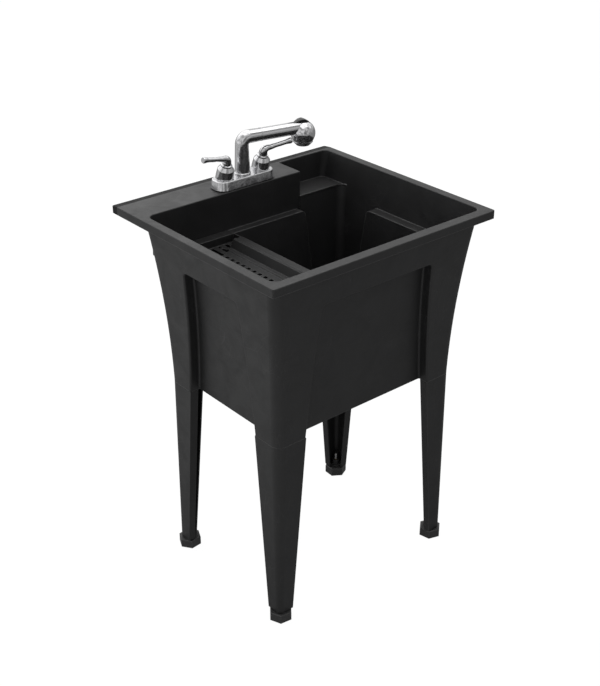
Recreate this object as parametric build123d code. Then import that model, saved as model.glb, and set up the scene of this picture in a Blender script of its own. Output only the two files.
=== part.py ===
from build123d import *
import math
import os

# Freestanding laundry sink: one moulded tub on four screwed-on legs with levelling feet,
# a sliding drainer tray, a centre-set lever tap with a pull-out spray, and a basket drain.
# Millimetres. +X is to the right of a person standing at the sink, -Y is the front, +Z is up.
# The origin is on the floor, under the middle of the rim.

# ---- overall sizes ----
RIM_WIDTH = 610.0
RIM_DEPTH = 556.0
RIM_TOP = 863.0
TUB_BOTTOM = 461.0

# ---- tub shell ----
WALL = 4.0
RIM_DROP = 18.5
RIM_SKIRT = 3.5
RIM_CORNER = 5.0
RIM_EDGE = 1.5
BODY_HALF_WIDTH = 256.0
BODY_FRONT = 225.5
BODY_BACK = 160.5
BODY_CORNER = 22.0
FLARE_SLOPE = 0.0171
FLARE_CURVE = 0.000159
POST_WIDTH = 77.0
POST_SLOPE = 0.12
POST_CURVE = 0.00009
BACK_POST_EXTRA = 20.0
PANEL_DEPTH = 25.0
PANEL_TOP = 769.0
PANEL_CORNER = 12.0
POST_EDGE = 4.0
DECK_FRONT = 172.0
NOTCH_LEFT = 139.0
NOTCH_BACK = 250.0
SHELF_TOP = 798.0
INNER_EDGE = 2.0
NOTCH_CORNER = 3.0
NOTCH_BACK_CORNER = 15.0
MOUTH_EDGE = 1.5
SHELF_LIP_RADIUS = 1.8
BACK_STRIP = 22.0
BACK_STRIP_DROP = 2.6

# ---- legs and feet ----
LEG_WALL = 3.5
LEG_BOTTOM = 23.6
LEG_FOOT_WIDTH = 39.0
LEG_FOOT_RETURN = 17.0
LEG_FOOT_CORNER = 13.0
LEG_PLATE = 4.0
STUD_INSET = 17.4
LEG_BOSS_RADIUS = 10.0
LEG_BOSS_HEIGHT = 16.0
INSERT_RADIUS = 7.0
STUD_RADIUS = 5.0
STUD_TOP = 56.0
THREAD_GAP = 0.05
THREAD_RELIEF = 0.3
NUT_CLEAR = 1.0
PAD_RADIUS = 27.5
PAD_HEIGHT = 21.5
PAD_EDGE = 1.5
PAD_NECK_RADIUS = 9.5
SEAT_GAP = 0.3
FOOT_TURNS = (("front_left", 52.0), ("front_right", 42.0), ("rear_left", 5.0), ("rear_right", 27.0))

# ---- leg sockets and screws ----
SOCKET_DEPTH = 42.0
SOCKET_WALL = 4.0
SOCKET_STANDOFF = 8.0
SOCKET_END_GAP = 5.0
SCREW_DROP = 22.0
SCREW_ALONG = 52.0
SCREW_RADIUS = 2.2
SCREW_HEAD_RADIUS = 4.5
SCREW_HEAD = 2.6
SCREW_BOSS_RADIUS = 5.5
SCREW_GRIP = 7.0

# ---- drainer tray ----
TRAY_RIGHT = -75.0
TRAY_WALL_GAP = 1.5
TRAY_FLANGE = 2.2
TRAY_FLOOR = 757.0
TRAY_SKIN = 2.5
TRAY_BAR_WIDTH = 23.5
TRAY_BAR_RISE = 1.5
TRAY_BEAD_RADIUS = 4.0
TRAY_BEAD_RISE = 2.0
TRAY_SLOPE_WIDTH = 10.0
TRAY_STEP_WIDTH = 10.0
TRAY_STEP_RISE = 2.5
TRAY_BAR_END = 118.0
TRAY_PITCH = 19.05
TRAY_HOLE_ROW_X = -141.5
TRAY_HOLE_ROW_Y = 85.3
TRAY_HOLE_WIDTH = 9.0
TRAY_HOLE_LENGTH = 10.0
TRAY_HOLE_CORNER = 1.5
TRAY_SLOT_LONG = 43.5
TRAY_SLOT_SHORT = 9.0
TRAY_ROWS_LEFT = 5
TRAY_ROWS_RIGHT = 2
TRAY_HOLES = 9

# ---- drain ----
DRAIN_X = 0.0
DRAIN_Y = -35.0
DRAIN_RECESS_RADIUS = 48.0
DRAIN_RECESS_DEPTH = 5.0
DRAIN_THREAD_RADIUS = 23.8
DRAIN_BORE_RADIUS = 19.3
DRAIN_HOLE_GAP = 0.5
DRAIN_FLANGE_RADIUS = 38.0
DRAIN_FLANGE = 2.5
DRAIN_BODY_LENGTH = 58.0
CROSSBAR = 3.0
CROSSBAR_DROP = 24.0
DRAIN_GASKET_RADIUS = 36.0
DRAIN_GASKET = 5.0
LOCKNUT_RADIUS = 34.0
LOCKNUT_HEIGHT = 9.0
LOCKNUT_LUGS = 6
TAIL_RADIUS = 19.05
TAIL_BORE = 16.9
TAIL_LENGTH = 62.0
TAIL_FLANGE_RADIUS = 22.8
TAIL_FLANGE = 2.5
TAIL_WASHER = 1.6
COUPLING_RADIUS = 28.5
COUPLING_HEIGHT = 17.0
COUPLING_SIDES = 12
STOPPER_TOP_RADIUS = 22.0
STOPPER_PLUG_RADIUS = 18.9
STOPPER_PLUG_TAPER = 1.2
STOPPER_PLUG_DEPTH = 13.0
STOPPER_DISC = 3.0
STOPPER_KNOB_RADIUS = 6.0
STOPPER_KNOB_HEIGHT = 9.0

# ---- tap ----
TAP_X = -6.0
TAP_Y = 202.0
TAP_CENTRES = 101.6
DECK_HOLE_RADIUS = 15.9
PAD_THICKNESS = 2.0
BASE_LENGTH = 162.0
BASE_DEPTH = 57.0
BASE_CORNER = 24.0
BASE_HEIGHT = 19.5
BASE_DRAFT = 3.8
BASE_SKIN = 2.4
BASE_TOP_EDGE = 2.5
BARREL_RADIUS = 12.0
BARREL_BORE = 9.05
BARREL_RISE = 18.0
SHANK_RADIUS = 10.48
SHANK_BORE = 6.0
SHANK_LENGTH = 54.0
BRIDGE_HALF_DEPTH = 8.0
BRIDGE_HEIGHT = 11.0
SOCKET_RADIUS = 15.0
SPIGOT_RADIUS = 11.0
SPIGOT_LENGTH = 13.0
RUNNING_GAP = 0.05
CARTRIDGE_RADIUS = 9.0
CARTRIDGE_FLANGE_RADIUS = 11.5
CARTRIDGE_FLANGE = 2.5
CARTRIDGE_DEPTH = 20.0
CARTRIDGE_NECK_RADIUS = 6.5
STEM_RADIUS = 4.0
BONNET_NUT_RADIUS = 14.4
BONNET_NUT_SKIRT = 7.0
BONNET_NUT_TOP = 2.5
HUB_RADIUS = 20.5
HUB_SHOULDER_RADIUS = 19.0
HUB_HEIGHT = 33.0
HUB_WALL = 1.8
HUB_SHOULDER = 8.0
HUB_ROUND = 3.0
VALVE_TILT = 16.0
KNUCKLE_HEIGHT = 53.0
ELBOW_BEND = 10.0
ELBOW_RADII = (9.7, 9.2, 8.4, 7.3)
STEM_HEIGHT = 46.0
HANDLE_RING_RADIUS = 13.0
HANDLE_RING = 3.6
HANDLE_NECK_RADIUS = 10.0
LEVER_REACH = 70.5
LEVER_RISE_DEG = 11.5
LEVER_RADII = ((22.0, 5.9), (38.0, 5.3), (53.0, 5.4), (63.0, 6.5), (68.5, 6.8), (LEVER_REACH, 6.1))
HANDLE_SCREW_RADIUS = 2.0
HANDLE_SCREW_HEIGHT = 42.0
HANDLE_SCREW_HEX = 1.0
HOT_LEVER_DEG = 180.0
COLD_LEVER_DEG = -10.0
SHANK_NUT_RADIUS = 20.0
SHANK_NUT_HEIGHT = 13.0
SHANK_WASHER_RADIUS = 19.0
SHANK_WASHER = 2.5

# ---- spout and spray ----
SPOUT_DEG = -11.2
SPOUT_AXIS_HEIGHT = 105.0
SPOUT_BEND = 16.5
SPOUT_FOOT_RADIUS = 18.8
SPOUT_FOOT_HEIGHT = 4.0
RISER_LOW_RADIUS = 17.6
RISER_TOP_RADIUS = 15.4
TUBE_RADIUS = 14.5
WATERWAY_RADIUS = 8.0
LINER_RADIUS = 11.4
LINER_BORE = 9.6
LINER_LENGTH = 20.0
SPOUT_SEAM = 45.0
WAND_SPIGOT_RADIUS = 9.3
WAND_SPIGOT_LENGTH = 18.0
WAND_RING_RADIUS = 15.0
WAND_RING = 2.4
WAND_BORE_RADIUS = 7.0
HEAD_AT = 155.5
HEAD_DROP = 13.6
WAND_BORE_END = 138.0
HEAD_RADIUS = 28.5
HEAD_WALL = 2.2
HEAD_CUT_DROP = 17.0
COLLAR_BOTTOM_DROP = 28.0
COLLAR_BOTTOM_RADIUS = 15.6
SPRAY_FACE_RADIUS = 13.4
SPRAY_FACE_THICKNESS = 4.0
SPRAY_HOLE_RADIUS = 0.9
SPRAY_HOLE_RINGS = ((5.0, 6), (10.0, 12))
O_RING_SECTION = 1.6
TOGGLE_TIP = 116.0
TOGGLE_PEAK = 153.0
TOGGLE_HEEL = 168.0
TOGGLE_TIP_RISE = 14.2
TOGGLE_PEAK_RISE = 20.2
TOGGLE_HEEL_RISE = 13.2
TOGGLE_SEAT_RISE = 12.4
TOGGLE_HEEL_SEAT_RISE = 8.4
TOGGLE_HEEL_TRAVEL = 1.8
TOGGLE_TIP_WIDTH = 5.0
TOGGLE_WIDTH = 19.0
TOGGLE_GAP = 0.4
LUG_WIDTH = 6.0
LUG_DEPTH = 8.0
LUG_GAP = 0.7
TOGGLE_PIN_RADIUS = 1.4
TOGGLE_PIN_RISE = 7.6
TOGGLE_PIN_LENGTH = 18.0

LOFT_LEVELS = 5
BORDER_LEVELS = 4
OVERCUT = 1.0
FAR = 400.0

# ---- places worked out from the sizes above ----
RIM_BOTTOM = RIM_TOP - RIM_DROP
DECK_UNDERSIDE = RIM_TOP - WALL
FLOOR_TOP = TUB_BOTTOM + WALL
LEDGE_TOP = PANEL_TOP + WALL
BASE_BOTTOM = RIM_TOP + PAD_THICKNESS
BASE_TOP = BASE_BOTTOM + BASE_HEIGHT
BARREL_TOP = BASE_TOP + BARREL_RISE
BARREL_BOTTOM = RIM_TOP + PAD_THICKNESS + SEAT_GAP
BARREL_LOW = BARREL_BOTTOM + BARREL_RADIUS / 3
KNUCKLE_Z = BASE_TOP + KNUCKLE_HEIGHT
STEM_TOP = BASE_TOP + STEM_HEIGHT
SPOUT_AXIS_Z = RIM_TOP + SPOUT_AXIS_HEIGHT
BALL_Z = SPOUT_AXIS_Z - HEAD_DROP
FLANGE_BOTTOM = LEDGE_TOP + SEAT_GAP
FLANGE_TOP = FLANGE_BOTTOM + TRAY_FLANGE


def flare(z):
    """Outward lean of the body and its posts at height z."""
    rise = z - TUB_BOTTOM
    return FLARE_SLOPE * rise + FLARE_CURVE * rise * rise


def half_width(z):
    return BODY_HALF_WIDTH + flare(z)


def front_reach(z):
    return BODY_FRONT + flare(z)


def back_reach(z):
    return BODY_BACK + flare(z)


def post_width(z):
    rise = z - TUB_BOTTOM
    return POST_WIDTH + POST_SLOPE * rise + POST_CURVE * rise * rise


def levels(low, high, count):
    return [low + (high - low) * i / (count - 1) for i in range(count)]


def outline(corners, z):
    """Closed wire at height z through corners (x, y, radius), each rounded to its radius."""
    rounded = []
    for i, (x, y, radius) in enumerate(corners):
        point = Vector(x, y, z)
        before = Vector(corners[i - 1][0], corners[i - 1][1], z)
        after = Vector(corners[(i + 1) % len(corners)][0], corners[(i + 1) % len(corners)][1], z)
        back = (before - point).normalized()
        ahead = (after - point).normalized()
        if radius <= 0:
            rounded.append((point, None, point))
            continue
        half = math.radians(back.get_angle(ahead)) / 2
        reach = radius / math.tan(half)
        inward = (back + ahead).normalized() * (radius / math.sin(half) - radius)
        rounded.append((point + back * reach, point + inward, point + ahead * reach))
    edges = []
    for i, (start, middle, end) in enumerate(rounded):
        if middle is not None:
            edges.append(Edge.make_three_point_arc(start, middle, end))
        following = rounded[(i + 1) % len(rounded)][0]
        edges.append(Edge.make_line(end, following))
    return Wire(edges)


def box_corners(x0, x1, y0, y1, radius):
    return [(x0, y0, radius), (x1, y0, radius), (x1, y1, radius), (x0, y1, radius)]


def loft_between(corners_at, low, high, count=LOFT_LEVELS):
    """Solid through the outline that corners_at(z) gives at evenly spaced heights."""
    return Solid.make_loft([outline(corners_at(z), z) for z in levels(low, high, count)], ruled=count == 2)


def slab(corners, low, high):
    return Solid.extrude(Face(outline(corners, low)), Vector(0, 0, high - low))


def cylinder(x, y, radius, low, high):
    return Pos(x, y, low) * Cylinder(radius, high - low, align=(Align.CENTER, Align.CENTER, Align.MIN))


def ring(x, y, outer, inner, low, high):
    return cylinder(x, y, outer, low, high) - cylinder(x, y, inner, low - OVERCUT, high + OVERCUT)


def turned(profile, x=0.0, y=0.0):
    """Solid of revolution about the vertical through (x, y) from (radius, z) points."""
    wire = Wire.make_polygon([Vector(r, 0, z) for r, z in profile], close=True)
    return Pos(x, y, 0) * Solid.revolve(Face(wire), 360, Axis.Z)


def write(name, shape):
    """One STEP file per node, holding all the solids of shape."""
    solids = shape.solids()
    body = solids[0] if len(solids) == 1 else Compound(children=solids)
    export_step(body, f"parts/{name}.step")
    return shape


# ---- tub ----
def body_block(inset, low, high):
    """The tub's full envelope, drawn in by inset, before its panels are recessed."""
    def corners(z):
        half = half_width(z) - inset
        return box_corners(-half, half, inset - front_reach(z), back_reach(z) - inset, BODY_CORNER - inset)
    return loft_between(corners, low, high)


def body_core(inset, low, high):
    """The block behind the recessed panels."""
    def corners(z):
        step = PANEL_DEPTH + inset
        half = half_width(z) - step
        return box_corners(-half, half, step - front_reach(z), back_reach(z) - step, 0)
    return loft_between(corners, low, high)


def panel_prism(low_border, high_border, top, across_x, start, end):
    """Cutter between two post borders, run along Y (across_x) or along X."""
    bottom = TUB_BOTTOM - OVERCUT
    heights = levels(bottom, top, BORDER_LEVELS)

    def place(value, z):
        return Vector(value, start, z) if across_x else Vector(start, value, z)

    rising = Edge.make_spline([place(low_border(z), z) for z in heights])
    falling = Edge.make_spline([place(high_border(z), z) for z in reversed(heights)])
    upper = Edge.make_line(place(low_border(top), top), place(high_border(top), top))
    lower = Edge.make_line(place(high_border(bottom), bottom), place(low_border(bottom), bottom))
    face = Face(Wire([rising, upper, falling, lower]))
    top_corners = [v for v in face.vertices() if abs(v.Z - top) < OVERCUT / 10]
    face = face.fillet_2d(PANEL_CORNER, top_corners)
    run = Vector(0, 1, 0) if across_x else Vector(1, 0, 0)
    return Solid.extrude(face, run * (end - start))


def recessed_body(inset, low, high, back_top):
    """Flared block with four corner posts and a recessed panel on each side between them."""
    def side_low(z):
        return post_width(z) - front_reach(z) - inset

    def side_high(z):
        return back_reach(z) - post_width(z) + inset

    def front_high(z):
        return half_width(z) - post_width(z) + inset

    def back_high(z):
        return front_high(z) - BACK_POST_EXTRA

    top = PANEL_TOP + inset
    start = BODY_BACK / 2
    core = body_core(inset, TUB_BOTTOM - 2 * OVERCUT, back_top + 2 * OVERCUT)
    panels = (
        panel_prism(lambda z: -front_high(z), front_high, top, True, -FAR, -start),
        panel_prism(lambda z: -back_high(z), back_high, back_top, True, start, FAR),
        panel_prism(side_low, side_high, top, False, -FAR, -start),
        panel_prism(side_low, side_high, top, False, start, FAR),
    )
    body = body_block(inset, low, high)
    for panel in panels:
        body -= panel - core
    return body


def on_posts(point):
    """Whether a point lies on the outside of the posts."""
    reach = back_reach(point.Z) if point.Y > 0 else front_reach(point.Z)
    return min(abs(abs(point.X) - half_width(point.Z)), abs(abs(point.Y) - reach)) < POST_EDGE / 10


def soft_posts(body):
    """Round the borders of the front and side panels, outside and then in the recesses."""
    for outside in (True, False):
        picked = []
        for edge in body.edges():
            points = [edge.position_at(share) for share in (0, 0.5, 1)]
            heights = [point.Z for point in points]
            if max(heights) > PANEL_TOP + OVERCUT or max(heights) < TUB_BOTTOM + OVERCUT:
                continue
            if outside == all(on_posts(point) for point in points) and edge.geom_type == GeomType.BSPLINE:
                picked.append(edge)
        body = fillet(picked, POST_EDGE)
    return body


def upper_basin(low, high, back_right, corner):
    """Basin above the ledges: straight across the deck's front wall, back_right(z) deep at its right end."""
    def corners(z):
        half = half_width(z) - WALL
        radius = BODY_CORNER - WALL
        return [
            (-half, WALL - front_reach(z), radius),
            (half, WALL - front_reach(z), radius),
            (half, back_right(z), corner),
            (NOTCH_LEFT, back_right(z), INNER_EDGE),
            (NOTCH_LEFT, DECK_FRONT, NOTCH_CORNER),
            (-half, DECK_FRONT, radius),
        ]
    return loft_between(corners, low, high)


def basin_cavities():
    """The basin's space in three heights: below the ledges, below the soap shelf, and above it."""
    return (
        recessed_body(WALL, FLOOR_TOP, LEDGE_TOP, LEDGE_TOP),
        upper_basin(LEDGE_TOP, SHELF_TOP, lambda z: back_reach(z) - WALL, BODY_CORNER - WALL),
        upper_basin(SHELF_TOP, RIM_TOP + OVERCUT, lambda z: NOTCH_BACK, NOTCH_BACK_CORNER),
    )


def deck_and_notch():
    """Wall under the front edge of the deck, the ledge at its foot, and the box around the soap shelf."""
    half = half_width(PANEL_TOP) - WALL
    wall = slab(
        box_corners(-half, NOTCH_LEFT, DECK_FRONT - WALL / 2, DECK_FRONT + WALL, 0),
        PANEL_TOP,
        DECK_UNDERSIDE + WALL / 2,
    )
    core_back = back_reach(PANEL_TOP) - PANEL_DEPTH
    wall += slab(box_corners(-half, half, core_back - WALL / 2, DECK_FRONT + WALL, 0), PANEL_TOP, LEDGE_TOP)

    def corners(z):
        return [
            (NOTCH_LEFT - WALL, DECK_FRONT - WALL / 2, 0),
            (half_width(z), DECK_FRONT - WALL / 2, 0),
            (half_width(z), NOTCH_BACK + WALL, BODY_CORNER),
            (NOTCH_LEFT - WALL, NOTCH_BACK + WALL, NOTCH_CORNER),
        ]
    return wall + loft_between(corners, SHELF_TOP - WALL, RIM_TOP - WALL / 2)


def strip_wedge(top):
    """Wedge that slopes the back strip of the rim down to its edge, below a flat at top."""
    start, end = RIM_DEPTH / 2 - BACK_STRIP, RIM_DEPTH / 2 + OVERCUT
    drop = BACK_STRIP_DROP * (end - start) / BACK_STRIP
    left = -RIM_WIDTH / 2 - OVERCUT
    corners = [Vector(left, start, top), Vector(left, end, top), Vector(left, end, top - drop)]
    return Solid.extrude(Face(Wire.make_polygon(corners, close=True)), Vector(-2 * left, 0, 0))


def rim():
    """Rim and deck, sloped along the back, with a hollow under them behind a hanging skirt."""
    x, y = RIM_WIDTH / 2, RIM_DEPTH / 2
    plate = slab(box_corners(-x, x, -y, y, RIM_CORNER), RIM_BOTTOM, RIM_TOP) - strip_wedge(RIM_TOP)
    border = []
    for edge in plate.edges():
        points = [edge.position_at(share) for share in (0, 0.5, 1)]
        on_border = all(abs(p.X) > x - RIM_CORNER / 3 or abs(p.Y) > y - RIM_CORNER / 3 for p in points)
        if on_border and min(p.Z for p in points) > RIM_BOTTOM + OVERCUT:
            border.append(edge)
    plate = fillet(border, RIM_EDGE)
    inner = RIM_CORNER - RIM_SKIRT
    hollow = slab(
        box_corners(RIM_SKIRT - x, x - RIM_SKIRT, RIM_SKIRT - y, y - RIM_SKIRT, inner),
        RIM_BOTTOM - OVERCUT,
        DECK_UNDERSIDE,
    )
    return plate - (hollow - strip_wedge(DECK_UNDERSIDE))


def edges_at(shell, z, left, front, back):
    """Open edges lying flat at height z inside the body, right of left and between front and back."""
    picked = []
    for edge in shell.edges():
        points = [edge.position_at(share) for share in (0, 0.5, 1)]
        if edge.geom_type == GeomType.CIRCLE and edge.is_closed:
            continue
        level = all(abs(p.Z - z) < OVERCUT / 10 for p in points)
        if level and all(left < p.X < half_width(z) and front < p.Y < back for p in points):
            picked.append(edge)
    return picked


def soft_mouth(shell):
    """Round the basin's upper edge."""
    mouth = edges_at(shell, RIM_TOP, -half_width(RIM_TOP), -front_reach(RIM_TOP), NOTCH_BACK + OVERCUT)
    return fillet(mouth, MOUTH_EDGE)


def shelf_lip():
    """Raised bead along the soap shelf's front edge that curls onto the right wall."""
    front = back_reach(SHELF_TOP) - WALL
    right = half_width(SHELF_TOP) - WALL
    curl = BODY_CORNER - WALL
    bend = curl * math.sqrt(0.5)
    start = Vector(NOTCH_LEFT - WALL / 2, front, SHELF_TOP)
    turn = Vector(right - curl, front, SHELF_TOP)
    middle = Vector(right - curl + bend, front - curl + bend, SHELF_TOP)
    end = Vector(right, front - curl, SHELF_TOP)
    path = Wire([Edge.make_line(start, turn), Edge.make_three_point_arc(turn, middle, end)])
    return sweep(Plane(origin=start, z_dir=(1, 0, 0)) * Circle(SHELF_LIP_RADIUS), path)


def leg_corner(sx, sy):
    """Outer corner point of the body at one leg."""
    return sx * BODY_HALF_WIDTH, BODY_BACK if sy > 0 else -BODY_FRONT


def angle_outline(sx, sy, inset, width, radius, depth):
    """L-shaped outline inside one outer corner: two arms of a width, each of a depth."""
    x, y = leg_corner(sx, sy)

    def at(along_x, along_y, r=0.0):
        return x - sx * along_x, y - sy * along_y, r

    return [
        at(width, inset),
        at(inset, inset, radius),
        at(inset, width),
        at(inset + depth, width),
        at(inset + depth, inset + depth),
        at(width, inset + depth),
    ]


def socket(sx, sy):
    """L-shaped rib under the tub that stands inside the top of one leg."""
    inset = LEG_WALL + SOCKET_STANDOFF
    width = POST_WIDTH - LEG_WALL - SOCKET_END_GAP
    radius = BODY_CORNER - inset
    return slab(
        angle_outline(sx, sy, inset, width, radius, SOCKET_WALL),
        TUB_BOTTOM - SOCKET_DEPTH,
        TUB_BOTTOM + WALL / 2,
    )


def screw_places(sx, sy):
    """Start point on the leg's inner wall and inward direction of each leg screw."""
    x, y = leg_corner(sx, sy)
    z = TUB_BOTTOM - SCREW_DROP
    along_x = (Vector(x - sx * SCREW_ALONG, y - sy * LEG_WALL, z), Vector(0, -sy, 0))
    along_y = (Vector(x - sx * LEG_WALL, y - sy * SCREW_ALONG, z), Vector(-sx, 0, 0))
    return along_x, along_y


def rod(start, direction, radius, length):
    return Solid.make_cylinder(radius, length, Plane(origin=start, z_dir=direction))


CORNERS = {
    "front_left": (-1, -1),
    "front_right": (1, -1),
    "rear_left": (-1, 1),
    "rear_right": (1, 1),
}
TAP_PLACES = {"hot": TAP_X - TAP_CENTRES / 2, "cold": TAP_X + TAP_CENTRES / 2}


def tub():
    outer = recessed_body(0, TUB_BOTTOM, RIM_TOP - WALL / 2, DECK_UNDERSIDE)
    shell = soft_posts(outer) + deck_and_notch() + rim()
    recess_bottom = TUB_BOTTOM - DRAIN_RECESS_DEPTH
    shell += cylinder(DRAIN_X, DRAIN_Y, DRAIN_RECESS_RADIUS + WALL, recess_bottom, FLOOR_TOP)
    for cavity in basin_cavities():
        shell -= cavity
    shell -= cylinder(DRAIN_X, DRAIN_Y, DRAIN_RECESS_RADIUS, recess_bottom + WALL, FLOOR_TOP + OVERCUT)
    hole = DRAIN_THREAD_RADIUS + DRAIN_HOLE_GAP
    shell -= cylinder(DRAIN_X, DRAIN_Y, hole, recess_bottom - OVERCUT, FLOOR_TOP)
    for x in (*TAP_PLACES.values(), TAP_X):
        shell -= cylinder(x, TAP_Y, DECK_HOLE_RADIUS, DECK_UNDERSIDE - OVERCUT, RIM_TOP + OVERCUT)
    for sx, sy in CORNERS.values():
        shell += socket(sx, sy)
        for start, inward in screw_places(sx, sy):
            shell -= rod(start, inward, SCREW_RADIUS + SEAT_GAP, SOCKET_STANDOFF + SOCKET_WALL + OVERCUT)
    return soft_mouth(shell + shelf_lip())


# ---- legs, screws and feet ----
def leg(sx, sy):
    """Tapered L-section leg with inward returns, a foot plate and a boss for the foot's insert."""
    def share(z):
        return (z - LEG_BOTTOM) / (TUB_BOTTOM - LEG_BOTTOM)

    def corners(z, inset):
        t = share(z)
        width = LEG_FOOT_WIDTH + (POST_WIDTH - LEG_FOOT_WIDTH) * t - inset
        depth = LEG_FOOT_RETURN + (PANEL_DEPTH - LEG_WALL - LEG_FOOT_RETURN) * t
        radius = LEG_FOOT_CORNER + (BODY_CORNER - LEG_FOOT_CORNER) * t - inset
        return angle_outline(sx, sy, inset, width, radius, depth - inset)

    top = TUB_BOTTOM - SEAT_GAP
    body = loft_between(lambda z: corners(z, 0), LEG_BOTTOM, top, 2)
    x, y = leg_corner(sx, sy)

    def hollow_corners(z):
        t = share(z)
        width = LEG_FOOT_WIDTH + (POST_WIDTH - LEG_FOOT_WIDTH) * t - LEG_WALL
        radius = LEG_FOOT_CORNER + (BODY_CORNER - LEG_FOOT_CORNER) * t - LEG_WALL
        near_x, near_y = x - sx * LEG_WALL, y - sy * LEG_WALL
        far_x, far_y = x - sx * width, y - sy * width
        return [(far_x, near_y, 0), (near_x, near_y, radius), (near_x, far_y, 0), (far_x, far_y, 0)]

    hollow = loft_between(hollow_corners, LEG_BOTTOM, top + OVERCUT, 2)
    hollow -= slab(box_corners(x - FAR, x + FAR, y - FAR, y + FAR, 0), 0, LEG_BOTTOM + LEG_PLATE)
    body -= hollow
    w = LEG_FOOT_WIDTH
    inner = LEG_WALL / 2
    plate = Wire.make_polygon([
        Vector(x - sx * w, y - sy * inner, LEG_BOTTOM),
        Vector(x - sx * inner, y - sy * w, LEG_BOTTOM),
        Vector(x - sx * inner, y - sy * LEG_FOOT_CORNER, LEG_BOTTOM),
        Vector(x - sx * LEG_FOOT_CORNER, y - sy * inner, LEG_BOTTOM),
    ], close=True)
    body += Solid.extrude(Face(plate), Vector(0, 0, LEG_PLATE))
    stud_x, stud_y = x - sx * STUD_INSET, y - sy * STUD_INSET
    body += cylinder(stud_x, stud_y, LEG_BOSS_RADIUS, LEG_BOTTOM, LEG_BOTTOM + LEG_BOSS_HEIGHT)
    for start, inward in screw_places(sx, sy):
        boss_length = SOCKET_STANDOFF + LEG_WALL / 2 - SEAT_GAP
        body += rod(start - inward * LEG_WALL / 2, inward, SCREW_BOSS_RADIUS, boss_length)
        body -= rod(start, inward, SCREW_RADIUS, SOCKET_STANDOFF + OVERCUT)
    boss_top = LEG_BOTTOM + LEG_BOSS_HEIGHT
    return body - cylinder(stud_x, stud_y, INSERT_RADIUS, LEG_BOTTOM - OVERCUT, boss_top + OVERCUT)


def leg_screw(start, inward):
    head_at = start + inward * (SOCKET_STANDOFF + SOCKET_WALL)
    shank = rod(head_at - inward * (SOCKET_WALL + SCREW_GRIP), inward, SCREW_RADIUS, SOCKET_WALL + SCREW_GRIP)
    head = rod(head_at, inward, SCREW_HEAD_RADIUS, SCREW_HEAD)
    return shank + head


def foot_place(sx, sy):
    x, y = leg_corner(sx, sy)
    return x - sx * STUD_INSET, y - sy * STUD_INSET


def leg_insert(sx, sy):
    x, y = foot_place(sx, sy)
    return ring(x, y, INSERT_RADIUS, STUD_RADIUS + THREAD_GAP, LEG_BOTTOM, LEG_BOTTOM + LEG_BOSS_HEIGHT)


def foot_pad(sx, sy, turn):
    x, y = foot_place(sx, sy)
    plate = extrude(RegularPolygon(PAD_RADIUS, 6), PAD_HEIGHT)
    plate = chamfer(plate.faces().sort_by(Axis.Z)[-1].edges(), PAD_EDGE)
    pad = Pos(x, y, 0) * Rot(0, 0, turn) * plate
    pad += cylinder(x, y, PAD_NECK_RADIUS, PAD_HEIGHT / 2, LEG_BOTTOM - SEAT_GAP)
    return pad - cylinder(x, y, STUD_RADIUS, PAD_HEIGHT / 2, LEG_BOTTOM)


def foot_stud(sx, sy):
    x, y = foot_place(sx, sy)
    stud = cylinder(x, y, STUD_RADIUS, PAD_HEIGHT / 2, STUD_TOP)
    return chamfer(stud.faces().sort_by(Axis.Z)[-1].edges(), STUD_RADIUS / 5)


# ---- drainer tray ----
def tray_holes():
    """Square drain holes in rows, with a woven band of long and short slots at the back."""
    holes = []
    half = TRAY_HOLE_LENGTH / 2
    band_low = TRAY_HOLE_ROW_Y + TRAY_PITCH - half
    band_high = band_low + TRAY_SLOT_LONG
    web = (TRAY_PITCH - TRAY_HOLE_LENGTH) * 2 / 3
    middle_high = band_high - TRAY_SLOT_SHORT - web

    def slot(x, y_low, y_high):
        corners = box_corners(
            x - TRAY_HOLE_WIDTH / 2, x + TRAY_HOLE_WIDTH / 2, y_low, y_high, TRAY_HOLE_CORNER
        )
        holes.append(slab(corners, TRAY_FLOOR - TRAY_SKIN - OVERCUT, TRAY_FLOOR + TRAY_STEP_RISE + OVERCUT))

    for row in range(-TRAY_ROWS_RIGHT, TRAY_ROWS_LEFT + 1):
        x = TRAY_HOLE_ROW_X - row * TRAY_PITCH
        beside_slope = x > tray_bar_left() - TRAY_SLOPE_WIDTH - TRAY_HOLE_WIDTH
        if row % 2 == 0:
            slot(x, TRAY_BAR_END + web / 2 if beside_slope else band_low, band_high)
        else:
            slot(x, band_high - TRAY_SLOT_SHORT, band_high)
            slot(x, middle_high - 2 * TRAY_HOLE_LENGTH, middle_high)
        if row < 0:
            continue
        for hole in range(TRAY_HOLES):
            y = TRAY_HOLE_ROW_Y - hole * TRAY_PITCH
            slot(x, y - half, y + half)
    return holes


def tray_bar_left():
    return TRAY_RIGHT - TRAY_BAR_WIDTH


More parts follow.
